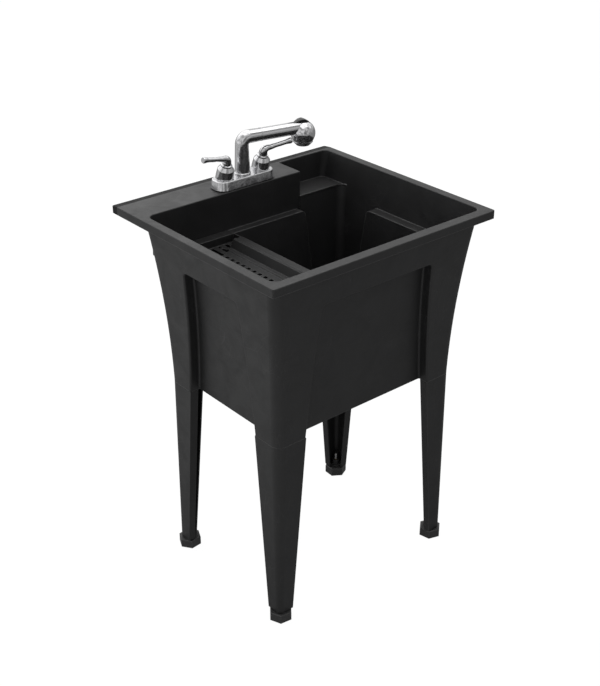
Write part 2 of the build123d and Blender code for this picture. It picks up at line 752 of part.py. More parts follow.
def tray_slope():
    """Raised bar with a rounded bead, a steep slope down from it and a low step at its foot."""
    front = front_reach(LEDGE_TOP) - WALL - TRAY_WALL_GAP
    bar_top = FLANGE_TOP + TRAY_BAR_RISE
    left = tray_bar_left()
    foot = left - TRAY_SLOPE_WIDTH
    step = foot - TRAY_STEP_WIDTH
    step_top = TRAY_FLOOR + TRAY_STEP_RISE
    under = TRAY_FLOOR - TRAY_SKIN
    profile = [
        (TRAY_RIGHT, FLANGE_BOTTOM),
        (TRAY_RIGHT, bar_top),
        (left, bar_top),
        (foot, step_top),
        (step, step_top),
        (step - TRAY_STEP_RISE, TRAY_FLOOR),
        (step - TRAY_STEP_RISE, under),
        (foot + TRAY_SKIN, under),
        (left + TRAY_SKIN, FLANGE_BOTTOM),
    ]
    length = TRAY_BAR_END + front
    wire = Wire.make_polygon([Vector(x, -front, z) for x, z in profile], close=True)
    bead_at = Vector(left + TRAY_BEAD_RADIUS, -front, bar_top + TRAY_BEAD_RISE - TRAY_BEAD_RADIUS)
    slope = Solid.extrude(Face(wire), Vector(0, length, 0))
    return slope + rod(bead_at, Vector(0, 1, 0), TRAY_BEAD_RADIUS, length)


def drainer_tray():
    """Tray that hangs by its flanges on the basin's ledges, with a raised bar on its right."""
    gap = TRAY_WALL_GAP
    left = half_width(LEDGE_TOP) - WALL - gap
    front = front_reach(LEDGE_TOP) - WALL - gap
    back = DECK_FRONT - gap
    skin = TRAY_SKIN
    low = TRAY_FLOOR - skin
    radius = BODY_CORNER - WALL
    step = PANEL_DEPTH + WALL + gap
    well_left, well_front = half_width(low) - step, front_reach(low) - step
    well_back = back_reach(low) - step
    flange = slab(
        [(-left, -front, radius), (TRAY_RIGHT, -front, 0), (TRAY_RIGHT, back, 0), (-left, back, radius)],
        FLANGE_BOTTOM,
        FLANGE_TOP,
    )
    well = slab(
        box_corners(-well_left, TRAY_RIGHT, -well_front, well_back, 0),
        low,
        FLANGE_BOTTOM + TRAY_FLANGE / 2,
    )
    pocket = slab(
        box_corners(skin - well_left, TRAY_RIGHT - skin, skin - well_front, well_back - skin, 0),
        TRAY_FLOOR,
        FLANGE_TOP + OVERCUT,
    )
    front_clear = slab(
        box_corners(-well_left, TRAY_RIGHT + OVERCUT, -front - OVERCUT, -well_front, 0),
        low - OVERCUT,
        FLANGE_BOTTOM,
    )
    body = (flange + well - pocket) + (tray_slope() - front_clear)
    for hole in tray_holes():
        body -= hole
    return body


# ---- drain ----
def strainer_body():
    """Flanged, threaded drain body with a cross of bars in its bore."""
    seat = TUB_BOTTOM - DRAIN_RECESS_DEPTH + WALL
    top = seat + DRAIN_FLANGE
    bottom = top - DRAIN_BODY_LENGTH
    body = cylinder(DRAIN_X, DRAIN_Y, DRAIN_FLANGE_RADIUS, seat, top)
    body = chamfer(body.faces().sort_by(Axis.Z)[-1].edges(), DRAIN_FLANGE / 2)
    body += cylinder(DRAIN_X, DRAIN_Y, DRAIN_THREAD_RADIUS, bottom, seat + DRAIN_FLANGE / 2)
    body -= cylinder(DRAIN_X, DRAIN_Y, DRAIN_BORE_RADIUS, bottom - OVERCUT, top + OVERCUT)
    reach = DRAIN_BORE_RADIUS + OVERCUT
    for half_x, half_y in ((reach, CROSSBAR / 2), (CROSSBAR / 2, reach)):
        corners = box_corners(DRAIN_X - half_x, DRAIN_X + half_x, DRAIN_Y - half_y, DRAIN_Y + half_y, 0)
        body += slab(corners, top - CROSSBAR_DROP - CROSSBAR, top - CROSSBAR_DROP)
    return body


def drain_gasket():
    top = TUB_BOTTOM - DRAIN_RECESS_DEPTH
    inner = DRAIN_THREAD_RADIUS + THREAD_GAP
    return ring(DRAIN_X, DRAIN_Y, DRAIN_GASKET_RADIUS, inner, top - DRAIN_GASKET, top)


def drain_locknut():
    top = TUB_BOTTOM - DRAIN_RECESS_DEPTH - DRAIN_GASKET
    low = top - LOCKNUT_HEIGHT
    inner = DRAIN_THREAD_RADIUS + THREAD_GAP
    body = cylinder(DRAIN_X, DRAIN_Y, LOCKNUT_RADIUS - LOCKNUT_HEIGHT / 2, low, top)
    for i in range(LOCKNUT_LUGS):
        lug = Pos(LOCKNUT_RADIUS - LOCKNUT_HEIGHT / 2, 0, low + LOCKNUT_HEIGHT / 2)
        lug = lug * Box(LOCKNUT_HEIGHT, LOCKNUT_HEIGHT, LOCKNUT_HEIGHT)
        body += Pos(DRAIN_X, DRAIN_Y, 0) * Rot(0, 0, i * 360 / LOCKNUT_LUGS) * lug
    return body - cylinder(DRAIN_X, DRAIN_Y, inner, low - OVERCUT, top + OVERCUT)


def strainer_bottom():
    return TUB_BOTTOM - DRAIN_RECESS_DEPTH + WALL + DRAIN_FLANGE - DRAIN_BODY_LENGTH


def tail_washer():
    top = strainer_bottom()
    return ring(DRAIN_X, DRAIN_Y, TAIL_FLANGE_RADIUS, DRAIN_BORE_RADIUS, top - TAIL_WASHER, top)


def coupling_bottom():
    return strainer_bottom() - TAIL_WASHER - TAIL_FLANGE - WALL


def tailpiece():
    """Tube whose free end, below the coupling nut, takes the waste trap."""
    top = strainer_bottom() - TAIL_WASHER
    neck = coupling_bottom() - NUT_CLEAR
    body = cylinder(DRAIN_X, DRAIN_Y, TAIL_FLANGE_RADIUS, top - TAIL_FLANGE, top)
    body += cylinder(DRAIN_X, DRAIN_Y, TAIL_RADIUS - THREAD_RELIEF, neck, top)
    body += cylinder(DRAIN_X, DRAIN_Y, TAIL_RADIUS, top - TAIL_LENGTH, neck)
    return body - cylinder(DRAIN_X, DRAIN_Y, TAIL_BORE, top - TAIL_LENGTH - OVERCUT, top + OVERCUT)


def coupling_nut():
    ledge = strainer_bottom() - TAIL_WASHER - TAIL_FLANGE
    low = coupling_bottom()
    outside = extrude(RegularPolygon(COUPLING_RADIUS + WALL, COUPLING_SIDES), COUPLING_HEIGHT)
    body = cylinder(DRAIN_X, DRAIN_Y, COUPLING_RADIUS, low, low + COUPLING_HEIGHT)
    body = Pos(DRAIN_X, DRAIN_Y, low) * outside & body
    inner = DRAIN_THREAD_RADIUS + THREAD_GAP
    body -= cylinder(DRAIN_X, DRAIN_Y, inner, ledge, low + COUPLING_HEIGHT + OVERCUT)
    return body - cylinder(DRAIN_X, DRAIN_Y, TAIL_RADIUS + THREAD_GAP, low - OVERCUT, ledge + OVERCUT)


def drain_stopper():
    """Rubber plug with a tapered seat, a disc on the flange and a finger knob."""
    low = TUB_BOTTOM - DRAIN_RECESS_DEPTH + WALL + DRAIN_FLANGE
    disc = low + SEAT_GAP
    knob = disc + STOPPER_DISC
    waist = STOPPER_KNOB_RADIUS / 2
    return turned([
        (0, low - STOPPER_PLUG_DEPTH),
        (STOPPER_PLUG_RADIUS - STOPPER_PLUG_TAPER, low - STOPPER_PLUG_DEPTH),
        (STOPPER_PLUG_RADIUS, disc),
        (STOPPER_TOP_RADIUS, disc),
        (STOPPER_TOP_RADIUS - STOPPER_PLUG_TAPER, knob),
        (waist, knob + waist / 2),
        (waist, knob + STOPPER_KNOB_HEIGHT / 2),
        (STOPPER_KNOB_RADIUS, knob + STOPPER_KNOB_HEIGHT * 2 / 3),
        (STOPPER_KNOB_RADIUS, knob + STOPPER_KNOB_HEIGHT),
        (0, knob + STOPPER_KNOB_HEIGHT),
    ], DRAIN_X, DRAIN_Y)


# ---- tap base ----
def base_corners(shrink):
    x, y = BASE_LENGTH / 2 - shrink, BASE_DEPTH / 2 - shrink
    return box_corners(TAP_X - x, TAP_X + x, TAP_Y - y, TAP_Y + y, BASE_CORNER - shrink)


def tilted(x, shape):
    """Lean a valve part forward about the point where its axis leaves the base's top."""
    return Pos(x, TAP_Y, BASE_TOP) * Rot(VALVE_TILT, 0, 0) * Pos(-x, -TAP_Y, -BASE_TOP) * shape


def tap_gasket():
    body = slab(base_corners(BASE_DRAFT), RIM_TOP, BASE_BOTTOM)
    for x in (*TAP_PLACES.values(), TAP_X):
        body -= cylinder(x, TAP_Y, DECK_HOLE_RADIUS, RIM_TOP - OVERCUT, BASE_BOTTOM + OVERCUT)
    return body


def tap_base():
    """Hollow chromed cover with slightly drawn-in walls and three holes in its top."""
    def corners(z, inset):
        return base_corners(BASE_DRAFT * (z - BASE_BOTTOM) / BASE_HEIGHT + inset)

    body = loft_between(lambda z: corners(z, 0), BASE_BOTTOM, BASE_TOP, 2)
    body = fillet(body.faces().sort_by(Axis.Z)[-1].edges(), BASE_TOP_EDGE)
    body -= loft_between(lambda z: corners(z, BASE_SKIN), BASE_BOTTOM, BASE_TOP - BASE_SKIN, 2)
    for x in TAP_PLACES.values():
        body -= tilted(x, cylinder(x, TAP_Y, BARREL_RADIUS + SEAT_GAP, BASE_BOTTOM + BASE_SKIN, BARREL_TOP))
    return body - cylinder(TAP_X, TAP_Y, SPIGOT_RADIUS + SEAT_GAP, BASE_BOTTOM, BASE_TOP + OVERCUT)


def shank_nut_bottom():
    return DECK_UNDERSIDE - SHANK_WASHER - SHANK_NUT_HEIGHT


def tap_waterway():
    """Cast body: two leaning valve barrels over shanks through the deck, a bridge and a spout socket."""
    bridge_top = BARREL_BOTTOM + BRIDGE_HEIGHT
    half = TAP_CENTRES / 2
    body = slab(
        box_corners(TAP_X - half, TAP_X + half, TAP_Y - BRIDGE_HALF_DEPTH, TAP_Y + BRIDGE_HALF_DEPTH, 0),
        BARREL_BOTTOM,
        bridge_top,
    )
    socket_top = BASE_TOP - BASE_SKIN - SEAT_GAP
    body += cylinder(TAP_X, TAP_Y, SOCKET_RADIUS, BARREL_BOTTOM, socket_top)
    relief_end = shank_nut_bottom() - NUT_CLEAR
    shank_end = RIM_TOP - SHANK_LENGTH
    seat = BARREL_TOP - CARTRIDGE_DEPTH
    for x in TAP_PLACES.values():
        body += tilted(x, cylinder(x, TAP_Y, BARREL_RADIUS, BARREL_LOW, BARREL_TOP))
        body += cylinder(x, TAP_Y, SHANK_RADIUS - THREAD_RELIEF, relief_end, bridge_top)
        body += cylinder(x, TAP_Y, SHANK_RADIUS, shank_end, relief_end)
        body -= tilted(x, cylinder(x, TAP_Y, BARREL_BORE, seat, BARREL_TOP + OVERCUT))
        body -= tilted(x, cylinder(x, TAP_Y, SHANK_BORE, bridge_top - OVERCUT, seat + OVERCUT))
        body -= cylinder(x, TAP_Y, SHANK_BORE, shank_end - OVERCUT, bridge_top)
    bore_low = socket_top - SPIGOT_LENGTH
    return body - cylinder(TAP_X, TAP_Y, SPIGOT_RADIUS + RUNNING_GAP, bore_low, socket_top + OVERCUT)


def shank_washer(x):
    low = DECK_UNDERSIDE - SHANK_WASHER
    return ring(x, TAP_Y, SHANK_WASHER_RADIUS, SHANK_RADIUS + SEAT_GAP, low, DECK_UNDERSIDE)


def shank_nut(x):
    top = DECK_UNDERSIDE - SHANK_WASHER
    low = shank_nut_bottom()
    body = cylinder(x, TAP_Y, SHANK_NUT_RADIUS - SHANK_WASHER, low, top)
    for turn in (0, 90):
        wing = Box(2 * SHANK_NUT_RADIUS, SHANK_WASHER * 2, SHANK_NUT_HEIGHT)
        body += Pos(x, TAP_Y, low + SHANK_NUT_HEIGHT / 2) * Rot(0, 0, turn) * wing
    return body - cylinder(x, TAP_Y, SHANK_RADIUS + THREAD_GAP, low - OVERCUT, top + OVERCUT)


# ---- valves and handles ----
def cartridge(x):
    """Quarter-turn valve cartridge sitting in its barrel by a flange."""
    flange_top = BARREL_TOP + CARTRIDGE_FLANGE
    body = cylinder(x, TAP_Y, CARTRIDGE_RADIUS, BARREL_TOP - CARTRIDGE_DEPTH + OVERCUT, BARREL_TOP)
    body += cylinder(x, TAP_Y, CARTRIDGE_FLANGE_RADIUS, BARREL_TOP, flange_top)
    body += cylinder(x, TAP_Y, CARTRIDGE_NECK_RADIUS, BARREL_TOP, flange_top + BONNET_NUT_TOP)
    low = BARREL_TOP - CARTRIDGE_DEPTH / 2
    top = flange_top + BONNET_NUT_TOP + OVERCUT
    return tilted(x, body - cylinder(x, TAP_Y, STEM_RADIUS + RUNNING_GAP, low, top))


def bonnet_nut(x):
    """Hexagonal nut that clamps the cartridge's flange onto its barrel."""
    ledge = BARREL_TOP + CARTRIDGE_FLANGE
    low = ledge - BONNET_NUT_SKIRT
    height = BONNET_NUT_SKIRT + BONNET_NUT_TOP
    nut = Pos(x, TAP_Y, low) * extrude(RegularPolygon(BONNET_NUT_RADIUS, 6), height)
    nut -= cylinder(x, TAP_Y, BARREL_RADIUS + THREAD_GAP, low - OVERCUT, ledge)
    hole = CARTRIDGE_NECK_RADIUS + THREAD_GAP
    return tilted(x, nut - cylinder(x, TAP_Y, hole, ledge - OVERCUT, ledge + BONNET_NUT_TOP + OVERCUT))


def escutcheon(x):
    """Chromed bell around the bonnet nut, cut level where it stands on the base."""
    skirt = BASE_TOP - HUB_RADIUS
    shoulder = BASE_TOP + HUB_HEIGHT - HUB_SHOULDER
    top = BASE_TOP + HUB_HEIGHT
    bell = turned([
        (HUB_RADIUS - HUB_WALL, skirt),
        (HUB_RADIUS, skirt),
        (HUB_RADIUS, BASE_TOP + HUB_SHOULDER),
        (HUB_SHOULDER_RADIUS, shoulder),
        (HANDLE_RING_RADIUS, top),
        (HANDLE_NECK_RADIUS - HUB_WALL, top),
        (HANDLE_NECK_RADIUS - HUB_WALL, top - HUB_WALL),
        (HANDLE_RING_RADIUS - HUB_WALL, top - HUB_WALL),
        (HUB_SHOULDER_RADIUS - HUB_WALL, shoulder - HUB_WALL / 2),
        (HUB_RADIUS - HUB_WALL, BASE_TOP + HUB_SHOULDER),
    ], x, TAP_Y)
    circles = bell.edges().filter_by(GeomType.CIRCLE)
    bell = fillet([e for e in circles if abs(e.radius - HUB_SHOULDER_RADIUS) < OVERCUT / 10], HUB_ROUND)
    below = Pos(x, TAP_Y, BASE_TOP) * Box(FAR, FAR, FAR, align=(Align.CENTER, Align.CENTER, Align.MAX))
    return tilted(x, bell) - below


def lever_form():
    """Neck, bend and lever in one run of round sections, drawn towards +X from the valve's axis."""
    bend_z = KNUCKLE_Z - ELBOW_BEND
    turn = math.radians(90 - LEVER_RISE_DEG)
    sections = []

    def section(x, z, lean, radius):
        plane = Plane(origin=(x, 0, z), x_dir=(0, 1, 0), z_dir=(math.sin(lean), 0, math.cos(lean)))
        sections.append(Wire.make_circle(radius, plane))

    section(0, BASE_TOP + HUB_HEIGHT + HANDLE_RING, 0, HANDLE_NECK_RADIUS)
    for i, radius in enumerate(ELBOW_RADII):
        lean = turn * i / (len(ELBOW_RADII) - 1)
        section(ELBOW_BEND * (1 - math.cos(lean)), bend_z + ELBOW_BEND * math.sin(lean), lean, radius)
    start_x = ELBOW_BEND * (1 - math.cos(turn))
    start_z = bend_z + ELBOW_BEND * math.sin(turn)
    for reach, radius in LEVER_RADII:
        run = reach - start_x
        section(start_x + run * math.sin(turn), start_z + run * math.cos(turn), turn, radius)
    return Solid.make_loft(sections)


def lever(x, direction_deg):
    """Ringed hub, bent neck and a rising lever with a flared tip in one piece."""
    ring_low = BASE_TOP + HUB_HEIGHT + SEAT_GAP
    ring_top = ring_low + HANDLE_RING
    bevel = HANDLE_RING / 4
    hub = turned([
        (0, ring_low),
        (HANDLE_RING_RADIUS - bevel, ring_low),
        (HANDLE_RING_RADIUS, ring_low + bevel),
        (HANDLE_RING_RADIUS, ring_top - bevel),
        (HANDLE_RING_RADIUS - bevel, ring_top),
        (HANDLE_NECK_RADIUS - bevel, ring_top + bevel),
        (0, ring_top + bevel),
    ], x, TAP_Y)
    body = hub + Pos(x, TAP_Y, 0) * Rot(0, 0, direction_deg) * lever_form()
    body -= cylinder(x, TAP_Y, STEM_RADIUS, ring_low - OVERCUT, STEM_TOP)
    hole_at = Vector(x, TAP_Y, BASE_TOP + HANDLE_SCREW_HEIGHT)
    hole = rod(hole_at, Vector(0, 1, 0), HANDLE_SCREW_RADIUS, STEM_RADIUS + HANDLE_NECK_RADIUS)
    return tilted(x, body - hole)


def valve_stem(x):
    """Stem turned by the handle."""
    return tilted(x, cylinder(x, TAP_Y, STEM_RADIUS, BARREL_TOP - CARTRIDGE_DEPTH / 2 + SEAT_GAP, STEM_TOP))


def handle_screw(x):
    """Headless screw that fixes a handle to its stem, with a hexagonal socket."""
    length = HANDLE_NECK_RADIUS - STEM_RADIUS - OVERCUT
    z = BASE_TOP + HANDLE_SCREW_HEIGHT
    screw = rod(Vector(x, TAP_Y + STEM_RADIUS, z), Vector(0, 1, 0), HANDLE_SCREW_RADIUS, length)
    key = Pos(x, TAP_Y + STEM_RADIUS + length, z) * Rot(90, 0, 0)
    key = key * extrude(RegularPolygon(HANDLE_SCREW_HEX, 6), length / 2)
    return tilted(x, screw - key)

# ---- spout and spray, drawn along +X and then turned to the spout's direction ----
def turn_spout(shape):
    return Pos(TAP_X, TAP_Y, 0) * Rot(0, 0, SPOUT_DEG) * shape


def along(radius, start, end, z=SPOUT_AXIS_Z):
    """Round bar on the spout's axis from one distance to another."""
    return rod(Vector(start, 0, z), Vector(1, 0, 0), radius, end - start)


def spout():
    """Tapered riser, bend and short tube, hollow, with a spigot that turns in the socket."""
    foot_low = BASE_TOP + SEAT_GAP
    foot_top = foot_low + SPOUT_FOOT_HEIGHT
    bend_z = SPOUT_AXIS_Z - SPOUT_BEND
    edge = SPOUT_FOOT_HEIGHT / 4
    riser = turned([
        (0, foot_low),
        (SPOUT_FOOT_RADIUS, foot_low),
        (SPOUT_FOOT_RADIUS, foot_top - edge),
        (SPOUT_FOOT_RADIUS - edge, foot_top),
        (RISER_LOW_RADIUS, foot_top),
        (RISER_TOP_RADIUS, bend_z),
        (0, bend_z),
    ])
    centre = Vector(SPOUT_BEND, 0, bend_z)
    start = Vector(0, 0, bend_z)
    mid = centre + Vector(-math.sqrt(0.5), 0, math.sqrt(0.5)) * SPOUT_BEND
    end = Vector(SPOUT_BEND, 0, SPOUT_AXIS_Z)
    path = Wire([Edge.make_three_point_arc(start, mid, end)])
    bend = sweep(Plane(origin=start, z_dir=Vector(0, 0, 1)) * Circle(RISER_TOP_RADIUS), path)
    inner_bend = sweep(Plane(origin=start, z_dir=Vector(0, 0, 1)) * Circle(WATERWAY_RADIUS), path)
    reach = SPOUT_SEAM - SPOUT_BEND
    tube = Solid.make_cone(RISER_TOP_RADIUS, TUBE_RADIUS, reach, Plane(end, z_dir=(1, 0, 0)))
    spigot_low = foot_low - BASE_SKIN - SPIGOT_LENGTH + SEAT_GAP
    body = riser + bend + tube + cylinder(0, 0, SPIGOT_RADIUS, spigot_low, foot_low + edge)
    body -= cylinder(0, 0, WATERWAY_RADIUS, spigot_low - OVERCUT, bend_z)
    body -= inner_bend
    body -= along(WATERWAY_RADIUS, SPOUT_BEND, SPOUT_SEAM + OVERCUT)
    body -= along(LINER_RADIUS, SPOUT_SEAM - LINER_LENGTH, SPOUT_SEAM + OVERCUT)
    groove = spigot_low + SPIGOT_LENGTH / 2
    bottom = SPIGOT_RADIUS - O_RING_SECTION
    body -= ring(0, 0, SPIGOT_RADIUS + OVERCUT, bottom, groove, groove + O_RING_SECTION)
    return turn_spout(body)


def spout_seal():
    spigot_low = BASE_TOP + 2 * SEAT_GAP - BASE_SKIN - SPIGOT_LENGTH
    groove = spigot_low + SPIGOT_LENGTH / 2
    inner = SPIGOT_RADIUS - O_RING_SECTION
    return turn_spout(ring(0, 0, SPIGOT_RADIUS, inner, groove, groove + O_RING_SECTION))


def spout_liner():
    body = along(LINER_RADIUS, SPOUT_SEAM - LINER_LENGTH, SPOUT_SEAM)
    return turn_spout(body - along(LINER_BORE, SPOUT_SEAM - LINER_LENGTH - OVERCUT, SPOUT_SEAM + OVERCUT))


def toggle_bed(grow):
    """Space over the head that the toggle and its lug fill, wider than them by grow."""
    half, tip = TOGGLE_WIDTH / 2 + grow, TOGGLE_TIP_WIDTH / 2 + grow
    far = SPOUT_AXIS_Z + TOGGLE_PEAK_RISE
    start = TOGGLE_TIP - grow
    front = [(start, -tip, 0), (HEAD_AT, -half, 0), (HEAD_AT, half, 0), (start, tip, 0)]
    bed = slab(front, SPOUT_AXIS_Z + TOGGLE_SEAT_RISE - grow, far)
    heel_seat = SPOUT_AXIS_Z + TOGGLE_HEEL_SEAT_RISE - TOGGLE_HEEL_TRAVEL
    bed += slab(box_corners(HEAD_AT, TOGGLE_HEEL + grow, -half, half, 0), heel_seat, far)
    lug_low = SPOUT_AXIS_Z + TOGGLE_SEAT_RISE - LUG_DEPTH - LUG_GAP
    reach, side = LUG_WIDTH / 2 + LUG_GAP, LUG_WIDTH / 2 + grow
    return bed + slab(box_corners(HEAD_AT - reach, HEAD_AT + reach, -side, side, 0), lug_low, far)


def toggle_pin_bar(radius, length):
    start = Vector(HEAD_AT, -length / 2, SPOUT_AXIS_Z + TOGGLE_PIN_RISE)
    return rod(start, Vector(0, 1, 0), radius, length)


def wand_form(grow=0.0):
    """Outside of the spray's handle where it enters the head, with a round end, larger by grow."""
    radius = TUBE_RADIUS + grow
    return along(radius, SPOUT_SEAM + SEAT_GAP, HEAD_AT) + Pos(HEAD_AT, 0, SPOUT_AXIS_Z) * Sphere(radius)


def spray_wand():
    """Hollow handle of the pull-out spray, with a spigot that docks in the liner."""
    start = SPOUT_SEAM + SEAT_GAP
    body = wand_form()
    body += along(WAND_RING_RADIUS, start, start + WAND_RING)
    body += along(WAND_SPIGOT_RADIUS, start - WAND_SPIGOT_LENGTH, start + WAND_RING)
    body -= along(WAND_BORE_RADIUS, start - WAND_SPIGOT_LENGTH - OVERCUT, WAND_BORE_END)
    outlet = Vector(WAND_BORE_END, 0, SPOUT_AXIS_Z)
    body -= rod(outlet, Vector(0, 0, -1), WAND_BORE_RADIUS, TUBE_RADIUS + OVERCUT)
    body -= toggle_bed(TOGGLE_GAP)
    return turn_spout(body - toggle_pin_bar(TOGGLE_PIN_RADIUS, TOGGLE_PIN_LENGTH))


def ball(radius):
    return Pos(HEAD_AT, 0, BALL_Z) * Sphere(radius)


def spray_head():
    """Hollow ball hung under the end of the handle and cut open below."""
    body = ball(HEAD_RADIUS) - ball(HEAD_RADIUS - HEAD_WALL)
    below = Pos(HEAD_AT, 0, BALL_Z - HEAD_CUT_DROP)
    body -= below * Box(FAR, FAR, FAR, align=(Align.CENTER, Align.CENTER, Align.MAX))
    body -= wand_form(SEAT_GAP / 2)
    return turn_spout(body - toggle_bed(TOGGLE_GAP)).solids().sort_by(SortBy.VOLUME)[-1]


def spray_collar():
    """Tapered skirt under the ball that holds the spray face."""
    top = BALL_Z - HEAD_CUT_DROP
    low = BALL_Z - COLLAR_BOTTOM_DROP
    top_radius = math.sqrt(HEAD_RADIUS ** 2 - HEAD_CUT_DROP ** 2)
    body = turned([
        (SPRAY_FACE_RADIUS, low),
        (COLLAR_BOTTOM_RADIUS, low),
        (top_radius, (top + low) / 2 + HEAD_WALL),
        (top_radius, top),
        (top_radius - HEAD_WALL, top),
        (top_radius - HEAD_WALL, (top + low) / 2 + HEAD_WALL),
        (SPRAY_FACE_RADIUS, low + SPRAY_FACE_THICKNESS),
    ])
    return turn_spout(Pos(HEAD_AT, 0, 0) * body)


def spray_face():
    low = BALL_Z - COLLAR_BOTTOM_DROP
    body = cylinder(HEAD_AT, 0, SPRAY_FACE_RADIUS, low, low + SPRAY_FACE_THICKNESS)
    for radius, count in SPRAY_HOLE_RINGS:
        for i in range(count):
            turn = math.radians(i * 360 / count)
            x, y = HEAD_AT + radius * math.cos(turn), radius * math.sin(turn)
            body -= cylinder(x, y, SPRAY_HOLE_RADIUS, low - OVERCUT, low + SPRAY_FACE_THICKNESS + OVERCUT)
    return turn_spout(body)


def toggle():
    """Black thumb toggle: a tongue that widens from its tip and arches over the head, on a lug."""
    seat = SPOUT_AXIS_Z + TOGGLE_SEAT_RISE
    crown = Edge.make_spline([
        Vector(TOGGLE_TIP, 0, SPOUT_AXIS_Z + TOGGLE_TIP_RISE),
        Vector(TOGGLE_PEAK, 0, SPOUT_AXIS_Z + TOGGLE_PEAK_RISE),
        Vector(TOGGLE_HEEL, 0, SPOUT_AXIS_Z + TOGGLE_HEEL_RISE),
    ])
    heel_seat = Vector(TOGGLE_HEEL, 0, SPOUT_AXIS_Z + TOGGLE_HEEL_SEAT_RISE)
    under = Wire.make_polygon([
        crown @ 1,
        heel_seat,
        Vector(HEAD_AT, 0, heel_seat.Z),
        Vector(HEAD_AT, 0, seat),
        Vector(TOGGLE_TIP, 0, seat),
        crown @ 0,
    ], close=False)
    half, tip = TOGGLE_WIDTH / 2, TOGGLE_TIP_WIDTH / 2
    profile = Face(Wire([crown, *under.edges()])).moved(Location(Vector(0, -half, 0)))
    body = Solid.extrude(profile, Vector(0, TOGGLE_WIDTH, 0))
    plan = slab(
        [(TOGGLE_TIP, -tip, tip / 2), (HEAD_AT, -half, half / 2), (TOGGLE_HEEL, -half, half * 2 / 3),
         (TOGGLE_HEEL, half, half * 2 / 3), (HEAD_AT, half, half / 2), (TOGGLE_TIP, tip, tip / 2)],
        heel_seat.Z - OVERCUT,
        SPOUT_AXIS_Z + TOGGLE_PEAK_RISE + OVERCUT,
    )
    dome = Pos(TOGGLE_PEAK, 0, SPOUT_AXIS_Z + TOGGLE_PEAK_RISE + OVERCUT - HEAD_RADIUS) * Sphere(HEAD_RADIUS)
    body = (body & plan) & dome
    reach = LUG_WIDTH / 2
    lug = box_corners(HEAD_AT - reach, HEAD_AT + reach, -reach, reach, 0)
    body += slab(lug, seat - LUG_DEPTH, seat + OVERCUT)
    return turn_spout(body - toggle_pin_bar(TOGGLE_PIN_RADIUS + RUNNING_GAP, TOGGLE_WIDTH))


def toggle_pin():
    return turn_spout(toggle_pin_bar(TOGGLE_PIN_RADIUS, TOGGLE_PIN_LENGTH))


def main():
    os.makedirs("parts", exist_ok=True)
    write("tub", tub())
    screws = []
    inserts = []
    for name, turn in FOOT_TURNS:
        sx, sy = CORNERS[name]
        write(f"leg_{name}", leg(sx, sy))
        write(f"foot_pad_{name}", foot_pad(sx, sy, turn))
        write(f"foot_stud_{name}", foot_stud(sx, sy))
        inserts.append(leg_insert(sx, sy))
        screws.extend(leg_screw(start, inward) for start, inward in screw_places(sx, sy))
    write("leg_screws", Compound(children=[s.solid() for s in screws]))
    write("leg_inserts", Compound(children=[s.solid() for s in inserts]))
    write("drainer_tray", drainer_tray())
    write("strainer_body", strainer_body())
    write("drain_gasket", drain_gasket())
    write("drain_locknut", drain_locknut())
    write("tail_washer", tail_washer())
    write("tailpiece", tailpiece())
    write("coupling_nut", coupling_nut())
    write("drain_stopper", drain_stopper())
    write("tap_gasket", tap_gasket())
    write("tap_base", tap_base())
    write("tap_waterway", tap_waterway())
    write("shank_washers", Compound(children=[shank_washer(x).solid() for x in TAP_PLACES.values()]))
    write("shank_nuts", Compound(children=[shank_nut(x).solid() for x in TAP_PLACES.values()]))
    for name, x in TAP_PLACES.items():
        write(f"cartridge_{name}", cartridge(x))
        write(f"bonnet_nut_{name}", bonnet_nut(x))
        write(f"escutcheon_{name}", escutcheon(x))
        write(f"handle_{name}", lever(x, HOT_LEVER_DEG if name == "hot" else COLD_LEVER_DEG))
        write(f"valve_stem_{name}", valve_stem(x))
        write(f"handle_screw_{name}", handle_screw(x))
    write("spout", spout())
    write("spout_seal", spout_seal())
    write("spout_liner", spout_liner())
    write("spray_wand", spray_wand())
    write("spray_head", spray_head())
    write("spray_collar", spray_collar())
    write("spray_face", spray_face())
    write("toggle", toggle())
    write("toggle_pin", toggle_pin())


main()
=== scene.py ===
"""Looks of a freestanding laundry sink with a drainer tray, a lever tap and a pull-out spray.

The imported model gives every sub-component its place and its motion. This script dresses each one
in its own finish, models the threads and the spray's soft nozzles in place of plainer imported
pieces, and sets up the studio and the camera. Lengths are in metres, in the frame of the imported
model: X to the right, Y towards the wall, Z up, with the floor at zero.
"""

from __future__ import annotations

import logging
import math
from collections.abc import Callable, Iterator
from contextlib import contextmanager
from dataclasses import dataclass, field
from enum import Enum
from typing import ClassVar

import bpy
from mathutils import Matrix, Vector


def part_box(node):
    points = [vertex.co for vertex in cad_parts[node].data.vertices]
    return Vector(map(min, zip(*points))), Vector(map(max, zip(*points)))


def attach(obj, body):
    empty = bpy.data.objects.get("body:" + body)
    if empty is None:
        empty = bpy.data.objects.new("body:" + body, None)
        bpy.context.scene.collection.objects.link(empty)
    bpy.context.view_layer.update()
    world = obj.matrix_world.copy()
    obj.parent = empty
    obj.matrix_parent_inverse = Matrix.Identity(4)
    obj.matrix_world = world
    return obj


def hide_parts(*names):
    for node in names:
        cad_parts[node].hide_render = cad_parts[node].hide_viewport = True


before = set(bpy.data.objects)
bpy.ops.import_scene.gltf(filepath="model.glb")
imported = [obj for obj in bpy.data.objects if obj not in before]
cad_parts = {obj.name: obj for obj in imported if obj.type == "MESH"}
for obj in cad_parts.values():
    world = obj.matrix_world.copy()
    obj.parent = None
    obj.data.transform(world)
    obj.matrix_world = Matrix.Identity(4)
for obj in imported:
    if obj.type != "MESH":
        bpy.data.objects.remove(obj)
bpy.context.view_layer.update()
LOG = logging.getLogger("laundry_sink")

MM = 0.001
Colour = tuple[float, float, float]
Point = tuple[float, float, float]
Pair = tuple[float, float]
WHITE: Colour = (1.0, 1.0, 1.0)

